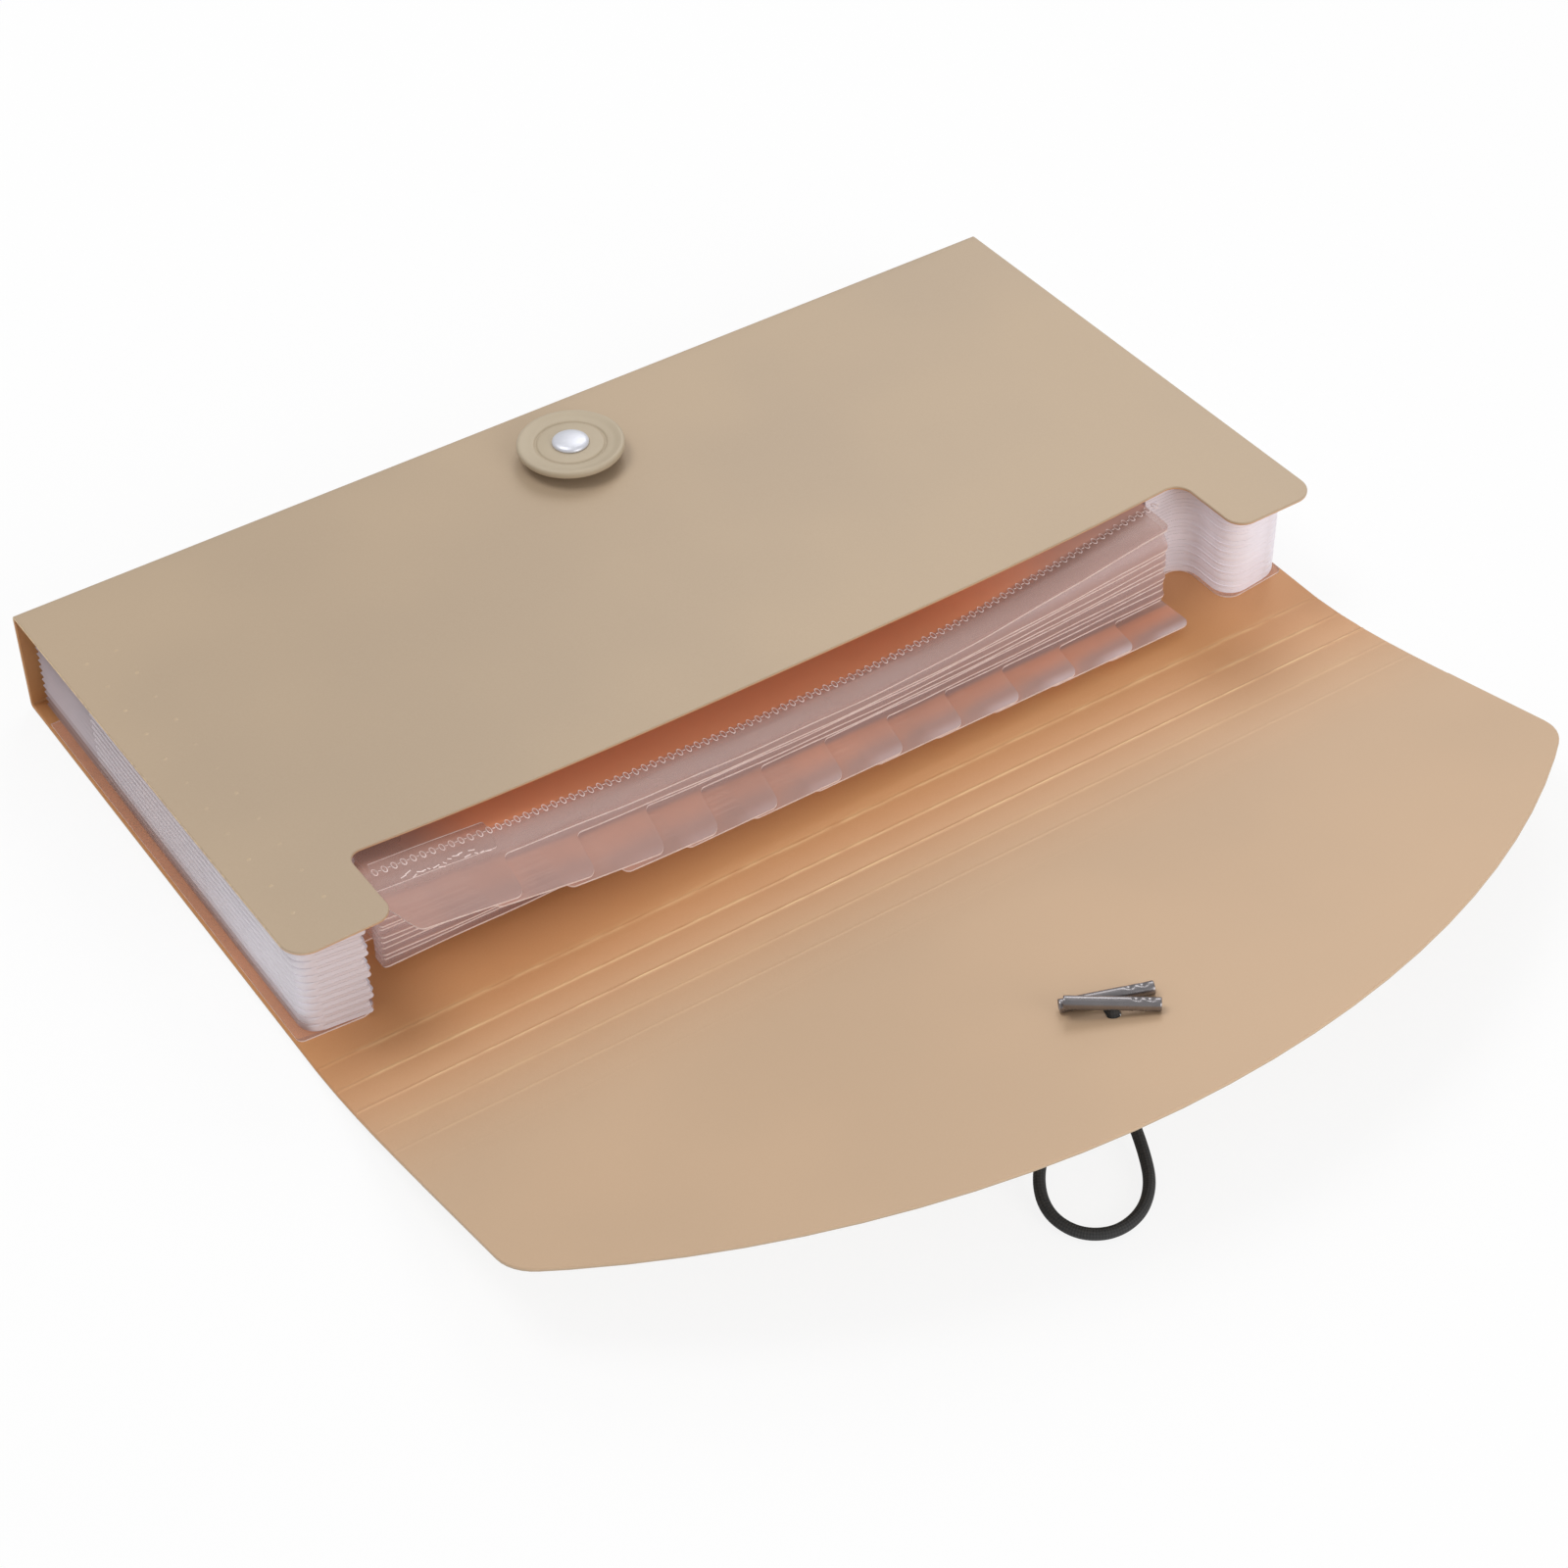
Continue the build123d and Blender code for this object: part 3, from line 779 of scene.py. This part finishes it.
def divider_outline(number):
    middle, front = TAB_MIDDLES[number - 1], tab_front(number)
    strip = STRIP_FRONT + 0.3 * math.sin(2.4 * number)
    left, right = middle - TAB_HALF, middle + TAB_HALF
    strip_corner = (STRIP_LEFT, -50.5, 0)
    corners = [(-DIVIDER_HALF, BLOCK_BACK, 0)]
    if number == 1:
        corners += [(-DIVIDER_HALF, -40.5, 0), (-107.6, -42, 0), (-107.6, -47.5, 0)]
        corners += [strip_corner, (STRIP_LEFT, strip, 0)]
    else:
        corners += [(-DIVIDER_HALF, NOTCH_BACK, 0), strip_corner]
        corners += [(STRIP_LEFT, strip, 1.0), (left - TAB_FLARE, strip, 1.6)]
    corners += [(left, front, 2.2), (right, front, 2.2)]
    if number < POCKETS - 1:
        corners += [(right + TAB_FLARE, strip, 1.6), (STRIP_RIGHT, strip, 1.5)]
    corners += [(STRIP_RIGHT, STRIP_BACK, 1.2), (DIVIDER_HALF, STRIP_BACK, 0)]
    return rounded(corners + [(DIVIDER_HALF, BLOCK_BACK, 0)])


def hang_divider(divider, number):
    """The divider turns on its body, and its drooping strip less, by as much as it hangs lower."""
    front = tab_front(number)
    rise = level(POCKETS - number, front) - level(0, front)
    still = 1 - (TAB_HEIGHTS[number - 1] - level(0, front)) / rise
    if still > 0:
        reach = (DROOP_START - front) / inverse_ease(still)
        start, end = metres(0, DROOP_START, 0), metres(0, DROOP_START - reach, 0)
        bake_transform(divider, f"divider_{number:02d}", "case", start=start, end=end)
    else:
        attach(divider, f"divider_{number:02d}")


def build_dividers():
    """Twelve films that part the pockets, each with an index tab."""
    rows = [40, 25, 10, -5, -18, -30, -38, -43, -44.5, -45.5, -46.5, -47.5, -48.4, -49, -49.6]
    rows += [-50.6, -51.6, -52.6, -53.6, -54.6, -56, -57.5, -59, -60, -61, -62, -62.8]
    cuts = [("x", x) for x in range(-102, 97, 6)] + [("y", y) for y in rows]
    for number in range(1, POCKETS):
        bm = plate([divider_outline(number)], -FILM / 2, FILM / 2, cuts=cuts)
        for i, look in enumerate(FILM_LOOKS):
            paint(bm, look, lambda spot: divider_look(number, spot.x, spot.y)[i])

        def place(x, y, z):
            bead = 1.6 if y < STRIP_FRONT + 0.4 else 1.0
            return Vector((x, y, divider_height(number, x, y) + z * bead))

        divider = finished(f"divider_film_{number:02d}", moved(bm, place), [CLEAR, EDGE], "film")
        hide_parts(f"divider_{number:02d}")
        hang_divider(divider, number)


def bar(bm, path, radius, closed=False):
    """A thin bar of four sides along a path of points."""
    rings = []
    for i, spot in enumerate(path):
        ahead = path[(i + 1) % len(path)] if closed else path[min(i + 1, len(path) - 1)]
        run = (ahead - path[i - 1 if closed else max(i - 1, 0)]).normalized()
        side = run.cross(Vector((0, 0, 1))).normalized() * radius
        lift = Vector((0, 0, radius))
        rings.append([bm.verts.new(spot + step) for step in (side, lift, -side, -lift)])
    for a, b in zip(rings, rings[1:] + (rings[:1] if closed else [])):
        for i in range(4):
            bm.faces.new((a[i - 1], a[i], b[i], b[i - 1]))
    if not closed:
        bm.faces.new(rings[0])
        bm.faces.new(rings[-1])


def on_top(x, y, height=0.0):
    """A point over the top divider."""
    return Vector((x, y, divider_height(1, x, y) + FILM / 2 + height))


def build_welds():
    """The row of weld beads on the top divider, and short bright bars of painted reflection in front of it.
    """
    seeded = random.Random(5)
    beads, bead_pitch, bead_lift, sides = 93, 2.2, 0.06, 12
    reflections, reflection_pitch, reflection_lift = 17, 1.2, 0.25
    bm = bmesh.new()
    for i in range(beads):
        x = -103.4 + bead_pitch * i
        y = weld_line(x)
        turns = [2 * math.pi * step / sides for step in range(sides)]
        ring = [on_top(x + 0.5 * math.cos(t), y + 0.95 * math.sin(t), bead_lift) for t in turns]
        bar(bm, ring, 0.12, closed=True)
        bar(bm, [on_top(x + 0.8, y, bead_lift), on_top(x + 1.4, y, bead_lift)], 0.1)
    # Painted reflections: short bright bars in front of the welds.
    for i in range(reflections):
        x, y = -99.0 + reflection_pitch * i, -52.2 + seeded.uniform(-0.4, 0.4)
        ahead = (x + seeded.uniform(0.6, 1.6), y + seeded.uniform(-0.3, 0.3))
        bar(bm, [on_top(x, y, reflection_lift), on_top(*ahead, reflection_lift)], 0.15)
    welds = finished("divider_welds", bm, [EDGE], "film")
    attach(welds, "divider_01")


def build_label_patch():
    """The small film pocket welded over the left end of the top divider."""
    corners = (-105.4, -52.6), (-77.0, -52.6), (-77.0, -46.8), (-103.6, -46.8)
    lift, radius = 0.06, 0.5
    cuts = [("x", x) for x in range(-100, -77, 4)] + [("y", -49.6)]
    bm = plate([rounded([(*corner, radius) for corner in corners])], lift, lift + FILM, cuts=cuts)
    # Painted see-through colour and shade: a pink.
    coat(bm, frost=0.26, tint=0.5)
    patch = finished("label_patch", moved(bm, on_top), [CLEAR, EDGE], "film")
    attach(patch, "divider_01")


@dataclass
class Gusset:
    """One side's pleats, and the ear with rounded corners that they form beside the notch."""

    side: int  # -1 for left, 1 for right
    edge: float  # half-width of the folder at the pleats' outer edge
    fold: float  # half-width at their inner fold, just behind the ear
    ear: float  # half-width at the ear's inner face
    back: float  # depth at which the ear begins
    front: float  # depth of the ear's front
    root: float  # radius between the inner fold and the ear
    lip: float  # radius of the ear's inner corner
    corner: float  # radius of the ear's outer corner
    wave: float  # how uneven the ear's inner face is from pleat to pleat
    recess: float  # how far the inner film steps back at a cut edge
    # The next three are painted light: see-through colour and shade, warm light from the sheet below, and a
    # glow.
    tint: float
    warm: float  # how much the sheet below warms the lowest pleats
    glow: float

    def stations(self):
        """Depths at which a pleat's section is drawn."""
        run = [BLOCK_END, 58.0, 52.0, 44.0, 34.0, 22.0, 10.0, -4.0, -18.0, -30.0]
        run += [self.back + 3, self.back]
        for t in (4, 15, 30, 45, 60, 75, 90):
            run.append(self.back - self.root * (1 - math.cos(math.radians(t))))
        first, last = self.back - self.root, self.front + self.corner
        run += [y for y in range(-47, -60, -2) if last < y < first]
        for t in range(0, 91, 10):
            run.append(self.front + self.corner * (1 - math.sin(math.radians(t))))
        return run

    def span(self, k, y):
        """Inner and outer ends of a pleat at depth y."""
        inner = self.fold + (FOLD_X - self.fold) * ease((y - self.back - 3) / 8)
        outer, ear = self.edge, self.ear + self.wave * math.sin(2.1 * k)
        drop = self.back - y
        if drop > 0:
            bend = max(0.0, self.root - drop)
            inner = ear - self.root + math.sqrt(self.root**2 - bend**2)
        turn = max(0.0, self.front + self.corner - y)
        outer -= self.corner - math.sqrt(max(0.0, self.corner**2 - turn**2))
        turn = max(0.0, self.front + self.lip - y)
        return inner + self.lip - math.sqrt(max(0.0, self.lip**2 - turn**2)), outer

    def section_line(self, k, y):
        """A pleat across the folder: along its lower film, round its nose and back along the upper.

        Each point is a half-width, a height from -1 to 1 and how much it belongs to the nose.
        """
        inner, outer = self.span(k, y)
        full = ease((54 - y) / 48)
        depth, power = 3.0 - 2.3 * full, 1 + 5 * full
        lower = [(inner, 0.0), (inner + 1.4, 0.0), ((inner + outer) / 2, 0.0)]
        lower.append((outer - depth - 0.3, 0.6))
        line = [(x, -1.0, wall) for x, wall in lower]
        for t in (-0.95, -0.82, -0.5, 0.0, 0.5, 0.82, 0.95):
            line.append((outer - depth * abs(t) ** power, t, 1.0))
        return line + [(x, 1.0, wall) for x, wall in reversed(lower)]

    def section(self, k, y):
        """Points with their looks on the two faces of a pleat's film, at depth y."""
        gap = 0.03
        low, high = level(k, y) + gap, level(k + 1, y) - gap
        middle, half = (low + high) / 2, (high - low) / 2
        flare = ease((self.front + 1.6 - y) / 1.6)
        line = self.section_line(k, y)
        deep = (1 - ease((middle - 1.3) / 6.5)) * (1 - flare)
        faces = [], []
        for i, (x, rise, wall) in enumerate(line):
            at_cut = i in (0, len(line) - 1) and y < self.back + 3.5
            cut = max(flare, 1.0 if at_cut else 0.0)
            shell = max(FILM / half, 0.97 * cut)
            frost = 0.34 + 0.6 * max(wall, cut) - self.warm * deep * wall
            aside = x - wall * (FILM + 0.4 * flare) + (self.recess if at_cut else 0.0)
            skew = 0.11 * (x - 113) * ease((-46 - y) / 8)
            # Painted shade fades towards the mouth, painted warm light warms the lowest pleats, and the glow
            # is painted light on the ear.
            paler = 0.8 * ease((-5 - y) / 45) * (1 - 0.7 * flare)
            tint = self.tint * (1 - paler) + self.warm * deep
            glow = self.glow * (1 - 0.6 * wall) * ease((self.back - y) / 8)
            outer_spot = (x, y, middle + half * rise)
            inner_spot = (aside, y + self.recess * 0.4 * flare, middle + half * rise * (1 - shell))
            for face, (across, along, z) in zip(faces, (outer_spot, inner_spot)):
                face.append((Vector((self.side * across, along + skew, z)), frost, tint, glow))
        return faces


def build_pleats():
    """Side gussets, one pleat to each pocket."""
    left = Gusset(
        side=-1, edge=127.6, fold=FOLD_X, ear=112.6, back=-42.0, front=-62.0, root=3.0, lip=1.0,
        corner=3.4, wave=0.5, recess=0.35, tint=0.2, warm=0.36, glow=0.0,
    )
    right = Gusset(
        side=1, edge=129.3, fold=98.8, ear=111.8, back=-43.0, front=-58.9, root=5.5, lip=6.0,
        corner=5.0, wave=0.1, recess=0.1, tint=0.0, warm=0.0, glow=0.15,
    )
    blend_y = -60
    for name, gusset in (("left", left), ("right", right)):
        for k in range(POCKETS):
            sections = [gusset.section(k, y) for y in gusset.stations()]
            bm = bmesh.new()
            film_grid(bm, list(zip(*sections)))
            pleat = finished(f"pleat_{name}_{k + 1:02d}", bm, [CLEAR], "film")
            tilt = math.atan((MOUTH_HEIGHT - SPINE_HEIGHT) / DEPTH * (k + 0.5) / POCKETS)
            up = Vector((0, math.sin(tilt), math.cos(tilt)))
            low, high = inverse_ease(k / POCKETS), inverse_ease((k + 1) / POCKETS)
            bottom = level(k, blend_y)
            reach = (level(k + 1, blend_y) - bottom) / (high - low)
            start = Vector((0, blend_y, bottom)) - up * low * reach
            end = start + up * reach
            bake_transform(pleat, "case", "front", start=metres(*start), end=metres(*end))
            if k == 0:
                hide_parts(f"{name}_gusset")


def build_bottom_pleats():
    """The pleats that close the pockets along the spine."""
    start, length, closing, apart = BLOCK_BACK + 0.3, 5.2, 0.85, 0.55 * FILM
    # Frost, and painted see-through colour and shade.
    frost, tint = 0.5, 0.4
    columns = (-120.0, -60.0, 0.0, 60.0, 120.0)
    bm = bmesh.new()
    for k in range(POCKETS):
        for half in (0, 1):
            sides = [], []
            for share in (0.0, 0.25, 0.5, 0.75, 1.0):
                y = start + length * share
                z = level(k + half, y) + (level(k + 0.5, y) - level(k + half, y)) * share * closing
                z += apart * (1 - 2 * half) * (1 - share)
                for rows, lift in zip(sides, (-FILM / 2, FILM / 2)):
                    rows.append([(Vector((x, y, z + lift)), frost, tint) for x in columns])
            film_grid(bm, sides)
    pleats = finished("bottom_pleats", bm, [CLEAR], "film")
    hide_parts("bottom_gusset")
    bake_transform(pleats, "case", "front", start=metres(0, 59, 1.3), end=metres(0, 59, 25.2))


def panel_outline(half, notch, back, left, right, corner):
    """A film panel's outline, by half-widths and the reach of its notch and ears from the spine."""
    first, radius = 9.5, 4.0
    corners = [(-half, first, 0), (half, first, 0), (half, right - 1.6, corner)]
    corners += [(notch, right, radius), (notch, back, radius)]
    corners += [(-notch, back, radius), (-notch, left, radius), (-half, left - 1.2, corner)]
    return rounded(corners)


def build_pocket_panels():
    """The film sheets on the inside of the two covers."""
    hole = circle(0, BUTTON_REACH, 5.5)[::-1]
    outline = panel_outline(
        half=128.6, notch=110.0, back=108.0, left=128.0, right=128.0, corner=6.0
    )
    bm = plate([outline, hole], -FILM, 0)
    # Painted warm see-through colour and shade under the front cover.
    coat(bm, frost=0.3, tint=0.9)
    front_panel = finished("front_panel_film", moved(bm, on_front), [CLEAR, EDGE], "film")
    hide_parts("front_pocket_panel")
    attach(front_panel, "front")
    outline = panel_outline(
        half=129.4, notch=111.4, back=108.6, left=127.6, right=124.6, corner=1.5
    )
    bm = plate([outline], SHEET, SHEET + FILM * 1.5)
    # Painted see-through colour and shade, with a painted glow that brightens it.
    coat(bm, frost=0.3, tint=0.6, glow=0.42)
    moved(bm, lambda x, y, z: Vector((x, SPINE_Y - y, z)))
    back_panel = finished("back_panel_film", bm, [CLEAR, EDGE], "film")
    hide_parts("back_pocket_panel")
    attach(back_panel, "case")


# Button
def build_button():
    """Disc, spacer, rivet and washer, turned round one axis on the front cover."""
    disc = [
        (2.05, 2.45), (11.5, 2.45), (12.15, 2.6), (12.46, 3.0), (12.5, 3.5), (12.46, 3.95),
        (12.3, 4.25), (12.0, 4.4), (11.6, 4.4), (11.15, 4.3), (10.6, 4.1), (10.1, 3.98),
        (9.6, 3.95), (8.7, 3.95), (8.52, 3.9), (8.4, 3.75), (8.28, 3.6), (8.1, 3.55),
        (7.92, 3.6), (7.8, 3.75), (7.68, 3.9), (7.5, 3.95), (4.6, 3.95), (2.05, 3.95),
    ]
    spacer = [
        (2.05, 0.0), (5.1, 0.0), (5.25, 0.15), (5.0, 0.6), (4.9, 1.2), (5.0, 1.8),
        (5.25, 2.25), (5.1, 2.4), (2.05, 2.4),
    ]
    rivet = [
        (0, -1.8), (2.5, -1.8), (2.8, -1.7), (2.8, -1.4), (2.6, -1.3), (2.0, -1.3),
        (2.0, 4.0), (4.1, 4.0), (4.28, 4.08), (4.3, 4.3), (4.2, 4.55), (3.9, 4.8),
        (3.3, 5.02), (2.4, 5.18), (1.3, 5.27), (0, 5.3),
    ]
    washer = [(2.0, -1.3), (3.85, -1.3), (4.0, -1.2), (4.0, -0.9), (3.85, -0.8), (2.0, -0.8)]
    up = Matrix.Rotation(-COVER_SLOPE, 3, "X")
    foot = on_front(0, BUTTON_REACH, SHEET)
    for name, profile, material, slot, node, body in (
        ("button_face", disc, BUTTON, "button", "button_disc", "button"),
        ("button_neck", spacer, BUTTON, "button", "button_spacer", "front"),
        ("rivet_head", rivet, RIVET, "rivet", "button_rivet", "front"),
        ("washer_ring", washer, RIVET, "rivet", "rivet_washer", "front"),
    ):
        bm = moved(lathe(profile), lambda x, y, z: foot + up @ Vector((x, y, z)))
        piece = finished(name, bm, [material], slot, sharp=40)
        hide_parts(node)
        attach(piece, body)


# Closing loop
BARB_RADIUS, BARB_SIDES = 1.4, 32
BARB_OUTSIDE = [
    (-9.5, 1.28), (-9.42, 1.38), (-9.2, BARB_RADIUS),
    *((-9.0 + 0.3 * i, BARB_RADIUS) for i in range(60)),
    (9.2, BARB_RADIUS), (9.42, 1.38), (9.5, 1.28),
]
BARB_BORE = [
    (9.5, 0.98), (9.4, 0.88), (8.6, 0.85), (0.0, 0.85), (-8.6, 0.85), (-9.4, 0.88), (-9.5, 0.98),
]


def crimp_depth(along, turn):
    """How deep a barb is dented by the crimps on its top."""
    off = math.remainder(turn - math.pi / 2, 2 * math.pi)
    dents = [math.exp(-(((along - crimp) / 0.7) ** 2) - (off / 0.5) ** 2) for crimp in (4.56, 7.22)]
    return sum(0.42 * dent for dent in dents)


def build_barbs():
    """Two crimped steel tubes on the flap, which hold the loop's ends."""
    flap_up = Vector((0, math.sin(SLOPES[-1]), math.cos(SLOPES[-1])))
    x, reach = STRAND_OFFSET
    barbs = []
    for name, turn, lift, spot in (
        ("front_barb", 37.5, 6.5, (CORD_HOLE_X + x, CORD_HOLE_REACH + reach, 2.575)),
        ("rear_barb", 25.4, 0.0, (CORD_HOLE_X - x, CORD_HOLE_REACH - reach, 1.5)),
    ):
        turn, lift = math.radians(turn), math.radians(lift)
        ahead = (math.cos(turn) * math.cos(lift), math.sin(turn) * math.cos(lift), -math.sin(lift))
        middle = on_flap(*spot)
        run = (on_flap(*(a + b for a, b in zip(spot, ahead))) - middle).normalized()
        side = run.cross(flap_up).normalized()
        top = side.cross(run)
        bm = bmesh.new()
        rings = []
        for j, (along, radius) in enumerate(BARB_OUTSIDE + BARB_BORE):
            ring = []
            for i in range(BARB_SIDES):
                t = 2 * math.pi * i / BARB_SIDES
                out = radius - crimp_depth(along, t) if j < len(BARB_OUTSIDE) else radius
                offset = side * math.cos(t) * out + top * math.sin(t) * out
                ring.append(bm.verts.new(middle + run * along + offset))
            rings.append(ring)
        for a, b in zip(rings, rings[1:] + rings[:1]):
            for i in range(BARB_SIDES):
                bm.faces.new((a[i - 1], a[i], b[i], b[i - 1]))
        barb = finished(f"{name}_tube", bm, [STEEL], "steel", sharp=50)
        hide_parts(name)
        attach(barb, "flap")
        barbs.append(barb)
    return barbs


LOOP_ROUTE = [
    (-2.4, -160.217, 22.771), (-2.4, -161.976, 15.609), (-3.0, -165.4, 8.2), (-6.0, -172.0, 4.2),
    (-9.0, -180.5, 2.4), (-12.5, -187.0, 1.5), (-18.5, -191.6, 1.4), (-25.8, -192.4, 1.4),
    (-31.6, -188.4, 1.4), (-33.4, -181.2, 1.8), (-30.2, -174.0, 3.2), (-23.0, -168.2, 5.6),
    (-14.5, -163.8, 8.2), (-6.6, -161.2, 10.6), (-1.0, -158.285, 14.703), (-1.0, -156.782, 20.821),
]


def build_loop(barbs):
    """The elastic, up through the flap's hole at both ends, its bight lying on the table."""
    line = bpy.data.curves.new("elastic", "CURVE")
    line.dimensions = "3D"
    spline = line.splines.new("NURBS")
    spline.points.add(len(LOOP_ROUTE) - 1)
    for point, spot in zip(spline.points, LOOP_ROUTE):
        point.co = (*metres(*spot), 1.0)
    spline.order_u = 3
    spline.use_endpoint_u = True
    spline.resolution_u = 10
    line.bevel_depth = 1.25 * MM
    line.bevel_resolution = 5
    line.use_fill_caps = True
    line.materials.append(BRAID)
    loop = bpy.data.objects.new("elastic_cord", line)
    bpy.context.scene.collection.objects.link(loop)
    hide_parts("elastic_loop")
    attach(loop, "flap")
    metres(*LOOP_ROUTE[0])


# Stage
def build_camera():
    """The photograph's camera, from a solve on the cover's corners."""
    eye, target = Vector((-303.20, -501.16, 496.20)), Vector((-5.98, -51.65, 0.0))
    roll, lens = math.radians(-0.799), 77.45
    ahead = (target - eye).normalized()
    right = ahead.cross(Vector((0, 0, 1))).normalized()
    up = right.cross(ahead)
    sin, cos = math.sin(roll), math.cos(roll)
    right, up = right * cos + up * sin, up * cos - right * sin
    camera = bpy.data.cameras.new("photo_camera")
    camera.sensor_width = 36.0
    camera.lens = lens
    camera.clip_start, camera.clip_end = 0.01, 50.0
    holder = bpy.data.objects.new("photo_camera", camera)
    turn = Matrix((right, up, -ahead)).transposed().to_4x4()
    holder.matrix_world = Matrix.Translation(eye * MM) @ turn
    bpy.context.scene.collection.objects.link(holder)
    bpy.context.scene.camera = holder


def build_table():
    """A white table that shines for rays that see it, so that its shadows stay faint."""
    f = Finish("table")
    rays = ("Is Camera Ray", "Is Glossy Ray", "Is Transmission Ray")
    seen, mirrored, through = (f.node("ShaderNodeLightPath", {}, {}, ray) for ray in rays)
    table = f.node("ShaderNodeBsdfDiffuse", {}, {"Color": (0.9, 0.9, 0.9, 1)})
    glow = f.node("ShaderNodeEmission", {}, {"Color": (1, 1, 1, 1), "Strength": 1.0})
    share = (seen + mirrored + through) * 0.86
    mixed = f.node("ShaderNodeMixShader", {}, {0: share, 1: table, 2: glow})
    f.node("ShaderNodeOutputMaterial", {}, {"Surface": mixed})
    bm = bmesh.new()
    bmesh.ops.create_grid(bm, x_segments=4, y_segments=4, size=6000)
    floor = finished("table_top", bm, [f.material], "cover")
    floor.location.z = -0.0004


def build_lights():
    """An even white surround and soft lamps."""
    world = bpy.context.scene.world or bpy.data.worlds.new("studio")
    bpy.context.scene.world = world
    world.use_nodes = True
    sky = next(node for node in world.node_tree.nodes if node.type == "BACKGROUND")
    sky.inputs["Color"].default_value = (1.0, 1.0, 1.0, 1.0)
    sky.inputs["Strength"].default_value = 0.5

    aim = Vector((0.0, -0.04, 0.0))
    for name, spot, size, power in (
        ("key", (-0.35, 0.4, 1.2), 0.7, 5.5),
        ("sheen", (0.75, 0.7, 0.95), 0.8, 4.0),
        ("front", (0.25, -1.25, 0.5), 0.9, 8.0),
    ):
        lamp = bpy.data.lights.new(name, "AREA")
        lamp.shape, lamp.size, lamp.energy = "DISK", size, power
        holder = bpy.data.objects.new(name, lamp)
        holder.location = spot
        holder.rotation_euler = (aim - Vector(spot)).to_track_quat("-Z", "Y").to_euler()
        bpy.context.scene.collection.objects.link(holder)


build_camera()
build_loop(build_barbs())
build_case_sheet()
build_front_cover()
build_weld_marks()
build_creases()
build_flap()
build_dividers()
build_welds()
build_label_patch()
build_pleats()
build_bottom_pleats()
build_pocket_panels()
build_button()
build_table()
build_lights()

bpy.context.scene.view_settings.view_transform = "Standard"
